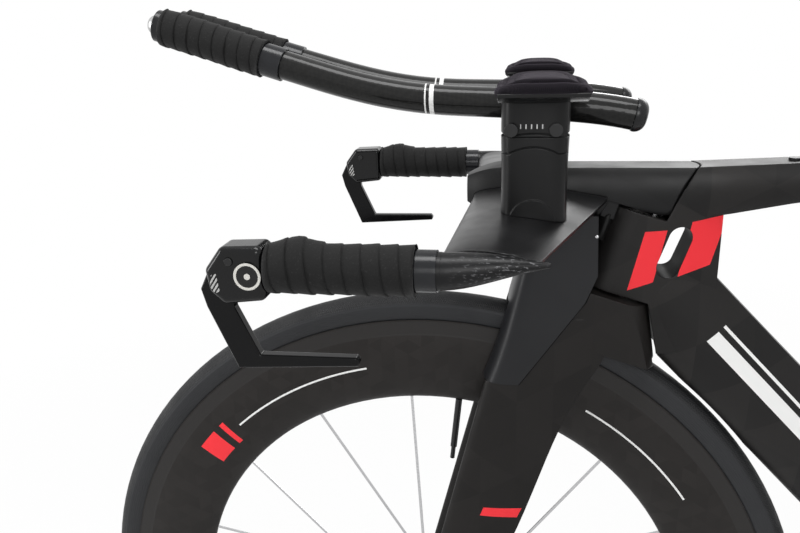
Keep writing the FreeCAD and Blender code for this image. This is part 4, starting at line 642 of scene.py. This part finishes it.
screw_points, screw_faces = [], []
for side in (1, -1):
    outside = Vector((SCREW_X, SCREW_OUTSIDE * side, SCREW_Z))
    _, spot, normal, _ = NODES["nose_cover"].ray_cast(outside, Vector((0, -side, 0)))
    across = normal.cross(Vector((0, 0, 1))).normalized()
    over = across.cross(normal)
    rows = []
    for radius, lift in SCREW_SECTION:
        middle = spot + normal * (lift * MM)
        rows.append([middle + (across * math.cos(q) + over * math.sin(q)) * (radius * MM) for q in around(16)])
    gather(screw_points, screw_faces, rows)
new_piece("cover_screws", screw_points, screw_faces, bright_steel, "steering", "steel")
print("head seal and cover screws done, cover hit at", [round(v, 4) for v in spot])

# %% [markdown]
# ## Wound bar tape
# Tape is one long strip wound round the bar, and each turn covers the edge of the turn before. A plain tube with
# rings on it looks wrong, because the real edges run at a slant. So the strip's own section, a low wedge with
# rounded edges, is swept along a helix. Near the left lever the tape runs over a fitting and makes a bump.

# %% Tape finish and winding
def cork_tape():
    made, tree, shader = finish("wound_tape", (0.0075, 0.0075, 0.0075), 0.75, Specular_IOR_Level=0.18,
                                Sheen_Weight=0.05, Sheen_Roughness=0.5)
    flecks = ramp(tree, noise(tree, 900, 2), 0.62, 0.72)
    paint(tree, shader, mix(tree, flecks, (0.0068, 0.0068, 0.0068), (0.022, 0.022, 0.022)))
    relief(tree, shader, noise(tree, 700, 4), 0.0004, 0.55)
    return made


TAPE = cork_tape()
TAPE_SECTION = ((-0.60, 0.0), (-0.60, 0.72), (-0.53, 0.92), (-0.2, 1.01), (0.2, 1.10), (0.5, 1.19), (0.58, 1.18),
                (0.62, 1.05), (0.62, 0.5))
STEPS_PER_TURN, BUMP_PLACE, BUMP_WIDTH = 30, 0.80, 0.13


def wound_tape(name, line_at, length, bar_radius, thick, turns, bump=0.0):
    """line_at(s) gives the bar's middle and direction at s metres from the tape's rear end."""
    pitch, rows = length / turns, []
    for i in range(STEPS_PER_TURN * (turns + 1) + 1):
        angle = 2 * math.pi * i / STEPS_PER_TURN
        row = []
        for across, rise in TAPE_SECTION:
            s = min(max(pitch * (angle / (2 * math.pi) - 0.5 - across), 0.0), length)
            middle, ahead = line_at(s)
            up = (Vector((0, 0, 1)) - ahead * ahead.z).normalized()
            out = up * math.cos(angle) + ahead.cross(up) * math.sin(angle)
            wobble = 1 + 0.035 * math.sin(1.7 * angle) + 0.02 * math.sin(4.3 * angle + across)
            from_bump = (s - BUMP_PLACE * length) / (BUMP_WIDTH * length)
            swell = bump * math.exp(-from_bump ** 2) * max(0.0, math.cos(angle)) ** 2
            row.append(middle + out * (bar_radius + thick * rise * wobble + swell * min(1.0, rise)))
        rows.append(row)
    return new_piece(name, *swept(rows), TAPE, "steering", "bar_tape")


# %% Base bar grips
BAR_RADIUS, BAR_TAPE, BAR_BUMP, TAPE_TURNS = 12.1 * MM, 3.45 * MM, 4.5 * MM, 8
GRIP_RADIUS = 16.8 * MM
rear_low, front_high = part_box("grip_tapes")
grip_length = front_high.x - rear_low.x
bar_height = (rear_low.z + front_high.z) / 2
bar_aside = front_high.y - GRIP_RADIUS
for name, side in (("left", 1), ("right", -1)):
    start = Vector((rear_low.x, side * bar_aside, bar_height))
    wound_tape(f"grip_tape_{name}", lambda s: (start + Vector((s, 0, 0)), Vector((1, 0, 0))),
                            grip_length, BAR_RADIUS, BAR_TAPE, TAPE_TURNS, bump=BAR_BUMP)
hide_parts("grip_tapes")

# %% [markdown]
# The extensions bend up towards their tips, so their tape follows a curve. The curve goes through the same places
# as the CAD bar: a cubic between each two of them, with slopes taken from their neighbours. Each place is given in
# millimetres ahead of the front axle and above the bar, with its share of the way in towards the middle.

# %% Extension grips
EXTENSION_SPOTS = ((-163.5, -5.1, 0), (-23.4, 6.8, 0.52), (16.8, 10.8, 0.68), (55, 19, 0.78), (95.7, 30.8, 0.86),
                   (147.3, 47, 0.95), (179.3, 57.5, 0.98), (209, 66.5, 1.0), (226, 71.3, 1.0))
HALF_GAP, TOE_IN, EXTENSION_RISE = 50, 28, 79.5


def extension_line(side):
    spots = [Vector((WHEELS["front"].x + x * MM, side * (HALF_GAP - TOE_IN * share) * MM,
                     bar_height + (EXTENSION_RISE + z) * MM)) for x, z, share in EXTENSION_SPOTS]
    slopes = [(spots[min(i + 1, len(spots) - 1)] - spots[max(i - 1, 0)]) for i in range(len(spots))]
    slopes = [s / s.x for s in slopes]

    def at(x):
        i = max(k for k in range(len(spots) - 1) if spots[k].x <= x or k == 0)
        a, b, run = spots[i], spots[i + 1], spots[i + 1].x - spots[i].x
        t = (x - a.x) / run
        point = (a * (2 * t ** 3 - 3 * t ** 2 + 1) + slopes[i] * run * (t ** 3 - 2 * t ** 2 + t)
                 + b * (3 * t ** 2 - 2 * t ** 3) + slopes[i + 1] * run * (t ** 3 - t ** 2))
        return point, slopes[i].lerp(slopes[i + 1], t).normalized()
    return at


EXTENSION_RADIUS, EXTENSION_TAPE = 11.45 * MM, 2.95 * MM
TAPE_BACK, TAPE_TIP = WHEELS["front"].x + 125.5 * MM, WHEELS["front"].x + 207.6 * MM
SLANT = 1.045
for name, side in (("left", 1), ("right", -1)):
    line = extension_line(side)
    wound_tape(f"extension_tape_{name}", lambda s: line(TAPE_BACK + s / SLANT),
                           (TAPE_TIP - TAPE_BACK) * SLANT, EXTENSION_RADIUS, EXTENSION_TAPE, TAPE_TURNS)
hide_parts("extension_grips")

# %% [markdown]
# ## Padded covers
# A pad is foam under a stretched cover. The CAD solid gives its form, and a short cloth simulation with inner
# pressure rounds it as a filled cover rounds. The underside is held, because it lies on the cup. The voxel skin
# makes even small faces for the cloth, and a limit on the movement keeps the pad in its place.

# %% Pad helpers
def settle(piece):
    """Keeps the shape that the modifiers give, without them."""
    graph = bpy.context.evaluated_depsgraph_get()
    done = bpy.data.meshes.new_from_object(piece.evaluated_get(graph))
    piece.modifiers.clear()
    piece.data = done


def soft_copy(node, name, voxel, sink, keep=lambda spot: True):
    """An even-skinned copy of a CAD solid, drawn in a little to leave room to swell."""
    blank = bmesh.new()
    blank.from_mesh(NODES[node].data)
    bmesh.ops.delete(blank, geom=[v for v in blank.verts if not keep(v.co)], context="VERTS")
    bmesh.ops.remove_doubles(blank, verts=blank.verts, dist=1e-5)
    bmesh.ops.recalc_face_normals(blank, faces=blank.faces)
    mesh = bpy.data.meshes.new(name)
    blank.to_mesh(mesh)
    blank.free()
    piece = bpy.data.objects.new(name, mesh)
    bpy.context.scene.collection.objects.link(piece)
    skin = piece.modifiers.new("even_skin", "REMESH")
    skin.mode, skin.voxel_size = "VOXEL", voxel
    draw_in = piece.modifiers.new("draw_in", "DISPLACE")
    draw_in.strength, draw_in.mid_level = -sink, 0.0
    settle(piece)
    return piece


def inflate(piece, pressure, most, frames=20):
    """Swells a piece with cloth, holding what faces down, and no point moves further than most."""
    start = np.array([v.co for v in piece.data.vertices])
    held = piece.vertex_groups.new(name="held")
    held.add([v.index for v in piece.data.vertices if v.normal.z < -0.55], 1.0, "REPLACE")
    cover = piece.modifiers.new("cover", "CLOTH")
    cover.settings.use_pressure = True
    cover.settings.uniform_pressure_force = pressure
    cover.settings.vertex_group_mass = "held"
    cover.settings.effector_weights.gravity = 0
    cover.settings.quality = 5
    cover.point_cache.frame_end = frames
    for step in range(1, frames + 1):
        bpy.context.scene.frame_set(step)
    settle(piece)
    bpy.context.scene.frame_set(1)
    moved = np.array([v.co for v in piece.data.vertices]) - start
    length = np.linalg.norm(moved, axis=1, keepdims=True)
    moved *= np.minimum(1.0, most / np.maximum(length, 1e-9))
    piece.data.vertices.foreach_set("co", (start + moved).ravel())
    return float(length.max())


def finish_pad(piece, made, body, node):
    piece.data.materials.clear()
    piece.data.materials.append(made)
    smooth = piece.modifiers.new("smooth", "SUBSURF")
    smooth.levels = smooth.render_levels = 1
    settle(piece)
    piece.data.polygons.foreach_set("use_smooth", [True] * len(piece.data.polygons))
    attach(piece, body)
    if node:
        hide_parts(node)


# %% [markdown]
# Stitches hold the top of a cover to its border. Each one is a short thread with both ends sunk in the cloth. A
# ray cast straight down finds the cloth under each stitch, and the cloth along the seam is pulled in first.

# %% Seams
THREAD_SECTION = ((0.0, -0.4, 0.35), (0.2, 0.5, 0.8), (0.5, 0.8, 1.0), (0.8, 0.5, 0.8), (1.0, -0.4, 0.35))


def seam_points(piece, outline, spacing, start=2.0, way=-1):
    """Even points along a closed outline of (x, y), dropped on the piece from a height, with the normals there."""
    loop = [Vector((*p, 0)) for p in outline] + [Vector((*outline[0], 0))]
    found, left = [], 0.0
    for a, b in zip(loop, loop[1:]):
        run = (b - a).length
        while left < run:
            spot = a.lerp(b, left / run)
            hit, point, normal, _ = piece.ray_cast(Vector((spot.x, spot.y, start)), Vector((0, 0, way)))
            if hit:
                found.append((point, normal))
            left += spacing
        left -= run
    return found


def pull_in(piece, seam, width, depth):
    """A groove along a seam."""
    near = np.array([p for p, _ in seam])
    for v in piece.data.vertices:
        if v.normal.z > 0:
            gap = np.min(np.linalg.norm(near - np.array(v.co), axis=1))
            if gap < width:
                v.co -= v.normal * depth * (0.5 + 0.5 * math.cos(math.pi * gap / width))


def stitches(name, seam, thread, made, body, slot):
    points, faces = [], []
    for (a, normal), (b, _) in zip(seam[::2], seam[1::2]):
        along = (b - a).normalized()
        side = along.cross(normal).normalized()
        rows = []
        for share, lift, thick in THREAD_SECTION:
            middle = a.lerp(b, share) + normal * (lift * thread)
            rows.append([middle + (side * math.cos(q) + normal * math.sin(q)) * (thread * thick)
                         for q in (0.0, 1.26, 2.51, 3.77, 5.03)])
        gather(points, faces, rows)
    return new_piece(name, points, faces, made, body, slot)


def rounded(x0, x1, y0, y1, corner, steps=6):
    """A rectangle with round corners as (x, y) points."""
    outline = []
    for cx, cy, turn in ((x1 - corner, y1 - corner, 0), (x0 + corner, y1 - corner, 1), (x0 + corner, y0 + corner, 2),
                         (x1 - corner, y0 + corner, 3)):
        for i in range(steps + 1):
            angle = math.pi / 2 * (turn + i / steps)
            outline.append((cx + corner * math.cos(angle), cy + corner * math.sin(angle)))
    return outline


# %% [markdown]
# The arm pads have a knitted cover with a short nap, near black with a touch of purple. The knit is two crossing
# waves, fine enough to show only close up, and the sheen makes the rounded edge paler, as nap does. The cover ends
# in a rolled hem, a soft tube round the foot of the pad.

# %% Arm pads
def knit_cover(name, dark, light, rows):
    made, tree, shader = finish(name, dark, 0.9, Specular_IOR_Level=0.1, Sheen_Weight=0.10, Sheen_Roughness=0.4,
                                Sheen_Tint=(0.75, 0.65, 0.80, 1))
    flat = add(tree, "SeparateXYZ", {0: place(tree)}).outputs
    knit = sums(tree, "MULTIPLY", sums(tree, "SINE", sums(tree, "MULTIPLY", flat[0], rows)),
                sums(tree, "SINE", sums(tree, "MULTIPLY", flat[1], rows)))
    paint(tree, shader, mix(tree, ramp(tree, knit, -1, 1), dark, light))
    relief(tree, shader, knit, 0.0003, 0.5)
    relief(tree, shader, noise(tree, 160), 0.0006, 0.35)
    return made


HEM_RADIUS, HEM_INSET, HEM_LIFT, HEM_CORNER = 3.4 * MM, 2.5 * MM, 2.0 * MM, 14 * MM


def rolled_hem(name, pad, outline, made, body, slot):
    """The rolled lower edge of a cover: a tube along an outline, laid against the underside of the pad."""
    foot = [point for point, _ in seam_points(pad, outline, 2.0 * MM, 0.0, 1)]
    up, rows = Vector((0, 0, 1)), []
    for i, point in enumerate(foot):
        along = foot[(i + 1) % len(foot)] - foot[i - 1]
        outward = along.cross(up).normalized()
        middle = point + outward * HEM_INSET + up * HEM_LIFT
        rows.append([middle + (outward * math.cos(q) - up * math.sin(q)) * HEM_RADIUS
                     for q in around(14)])
    return new_piece(name, *swept(rows, True), made, body, slot)


PAD_COVER = knit_cover("arm_pad_cover", (0.0062, 0.0052, 0.0070), (0.0140, 0.0120, 0.0155), 5200)
THREAD = knit_cover("seam_thread", (0.020, 0.018, 0.022), (0.034, 0.031, 0.036), 9000)
PAD_WIDTH, PAD_SKIN, PAD_SINK, PAD_SWELL = 78 * MM, 2.6 * MM, 1.2 * MM, 3.0 * MM
SEAM_INSET, STITCH_PITCH, GROOVE_WIDTH, GROOVE_DEPTH = 9 * MM, 1.7 * MM, 5 * MM, 1.3 * MM
pad_low, pad_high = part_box("arm_pads")
for name, side in (("left", 1), ("right", -1)):
    pad = soft_copy("arm_pads", f"arm_pad_{name}", PAD_SKIN, PAD_SINK, lambda spot: spot.y * side > 0)
    print(name, "pad moved up to", round(inflate(pad, 4.0, PAD_SWELL), 4))
    painted_shade, outer = sorted((side * (pad_high.y - PAD_WIDTH), side * pad_high.y))
    border, rim = (rounded(pad_low.x + inset, pad_high.x - inset, painted_shade + inset, outer - inset, corner)
                   for inset, corner in ((SEAM_INSET, SEAM_INSET), (HEM_INSET, HEM_CORNER)))
    pull_in(pad, seam_points(pad, border, STITCH_PITCH), GROOVE_WIDTH, GROOVE_DEPTH)
    finish_pad(pad, PAD_COVER, "steering", "arm_pads" if side > 0 else None)
    seam = seam_points(pad, border, STITCH_PITCH)
    stitches(f"arm_pad_stitches_{name}", seam, 0.28 * MM, THREAD, "steering", "pad_fabric")
    rolled_hem(f"arm_pad_hem_{name}", pad, rim, PAD_COVER, "steering", "pad_fabric")
    print("arm pad", name, len(pad.data.vertices), "points")

# %% [markdown]
# ## Saddle
# The saddle has a smooth synthetic leather cover over firm foam. It swells less than the arm pads. A pressure
# channel runs along its middle, and a seam goes round that channel.

# %% Saddle cover
def synthetic_leather():
    made, tree, shader = finish("saddle_leather", (0.008, 0.008, 0.008), 0.5, Specular_IOR_Level=0.25)
    grain = add(tree, "TexVoronoi", {"Vector": place(tree), "Scale": 900.0}, feature="DISTANCE_TO_EDGE").outputs[0]
    paint(tree, shader, mix(tree, noise(tree, 30), (0.0065, 0.0065, 0.0065), (0.0105, 0.0104, 0.0102)))
    relief(tree, shader, grain, 0.00035, 0.4)
    uneven_gloss(tree, shader, 0.42, 0.58, 60)
    return made


CHANNEL = ((-0.62, 0), (-0.4, 7), (0.2, 7), (0.62, 0), (0.2, -7), (-0.4, -7))
SEAT_STITCH_PITCH = 1.8 * MM
saddle = soft_copy("saddle_pad", "saddle_cover", 3.5 * MM, 1.0 * MM)
print("saddle moved up to", round(inflate(saddle, 2.5, 2.0 * MM), 4))
seat_low, seat_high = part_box("saddle_pad")
middle_x, half_x = (seat_low.x + seat_high.x) / 2, (seat_high.x - seat_low.x) / 2
channel = [(middle_x + half_x * share, aside * MM) for share, aside in CHANNEL]
pull_in(saddle, seam_points(saddle, channel, SEAT_STITCH_PITCH), 7 * MM, 2.2 * MM)
finish_pad(saddle, synthetic_leather(), "frame", "saddle_pad")
seam = seam_points(saddle, channel, SEAT_STITCH_PITCH)
stitches("saddle_stitches", seam, 0.3 * MM, THREAD, "frame", "saddle_cover")
print("saddle", len(saddle.data.vertices), "points")

# %% [markdown]
# ## Chain
# A roller chain has pairs of waisted plates, narrow and wide in turn, with a round roller at each pin. The CAD
# chain has a small block where each roller sits, so the middles of those blocks are the pins. They are put in
# order by walking from each to its nearest neighbour. Links are stiff one by one, but the chain as a whole follows
# the cage when it swings. So the loop is made in three runs: one on the frame, one round the two pulleys and one
# ahead of the lower pulley. The last two are given no body and keep their places.

# %% Pins of the chain
BLOCK_MOST = 4 * MM


def chain_pins():
    blank = bmesh.new()
    blank.from_mesh(NODES["chain"].data)
    bmesh.ops.remove_doubles(blank, verts=blank.verts, dist=1e-6)
    left, pins = set(blank.verts), []
    while left:
        island, edge = set(), [left.pop()]
        while edge:
            v = edge.pop()
            island.add(v)
            edge += [o for e in v.link_edges for o in (e.other_vert(v),) if o in left]
            left -= set(edge)
        spots = np.array([v.co for v in island])
        size = spots.max(0) - spots.min(0)
        if max(size[0], size[2]) < BLOCK_MOST:
            pins.append(Vector(spots.mean(0)))
    blank.free()
    pins.sort(key=lambda p: (round(p.x, 5), round(p.z, 5)))
    walk = [pins.pop()]
    while pins:
        nearest = min(pins, key=lambda p: (p - walk[-1]).length)
        pins.remove(nearest)
        walk.append(nearest)
    return walk


pins = chain_pins()
print("chain pins", len(pins))

# %% Links
PLATE_HALF, WAIST_HALF, PLATE_THICK = 3.7 * MM, 2.7 * MM, 0.8 * MM
NARROW, WIDE = 1.0 * MM, 1.85 * MM
ROLLER_RADIUS, ROLLER_HALF, PIN_RADIUS, PIN_HALF = 2.3 * MM, 0.85 * MM, 1.6 * MM, 2.75 * MM
CAGE_TOP, CAGE_HOLD = 0.262, 0.236
PULLEY_FOOT, LOWER_RUN_START = -0.4690, -0.3900
BENDS = {"chain_pulley_links": ((0, 0, CAGE_TOP), (0, 0, CAGE_HOLD)),
         "chain_lower_links": ((LOWER_RUN_START, 0, 0), (PULLEY_FOOT, 0, 0))}


def plate_outline(a, b):
    """A waisted plate round two pins, in the side view."""
    along = (b - a).normalized()
    over = Vector((-along.z, 0, along.x))
    outline = []
    for centre, turn in ((b, 0), (a, math.pi)):
        for i in range(-5, 6):
            angle = turn + i * math.radians(22)
            outline.append(centre + (along * math.cos(angle) + over * math.sin(angle)) * PLATE_HALF)
        waist = over * WAIST_HALF if turn == 0 else -over * WAIST_HALF
        outline.append((a + b) / 2 + waist)
    return outline


def disc_rows(centre, radius, half):
    ring = [Vector((math.cos(q), 0, math.sin(q))) * radius for q in around(12)]
    return [[centre + p + Vector((0, y, 0)) for p in ring] for y in (-half, half)]


def run_of(spot):
    """Which run a link belongs to: round the pulleys, ahead of the lower pulley, or on the frame."""
    if spot.z < CAGE_TOP and spot.x < PULLEY_FOOT:
        return "chain_pulley_links"
    if spot.z < CAGE_TOP and spot.x < LOWER_RUN_START:
        return "chain_lower_links"
    return "chain_links"


runs = {"chain_links": ([], []), "chain_pulley_links": ([], []), "chain_lower_links": ([], [])}
for i, pin in enumerate(pins):
    following = pins[(i + 1) % len(pins)]
    chain_points, chain_faces = runs[run_of((pin + following) / 2)]
    near = WIDE if i % 2 else NARROW
    outline = plate_outline(pin, following)
    groups = [disc_rows(pin, ROLLER_RADIUS, ROLLER_HALF), disc_rows(pin, PIN_RADIUS, PIN_HALF)]
    for low, high in ((near, near + PLATE_THICK), (-near - PLATE_THICK, -near)):
        groups.append([[p + Vector((0, y, 0)) for p in outline] for y in (low, high)])
    for rows in groups:
        gather(chain_points, chain_faces, rows)
chain_steel = brushed_metal("chain_steel", (0.42, 0.41, 0.40), 0.26, 0.42)
for name, (chain_points, chain_faces) in runs.items():
    body = "frame" if name == "chain_links" else None
    links = new_piece(name, chain_points, chain_faces, chain_steel, body, "steel")
    links.data.polygons.foreach_set("use_smooth", [False] * len(links.data.polygons))
    if body:
        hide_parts("chain")
    else:
        start, end = BENDS[name]
        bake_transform(links)
    print(name, "faces", len(chain_faces))

# %% Print the visual box and finish
low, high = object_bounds()
print("visual box", [round(v, 3) for v in high - low])
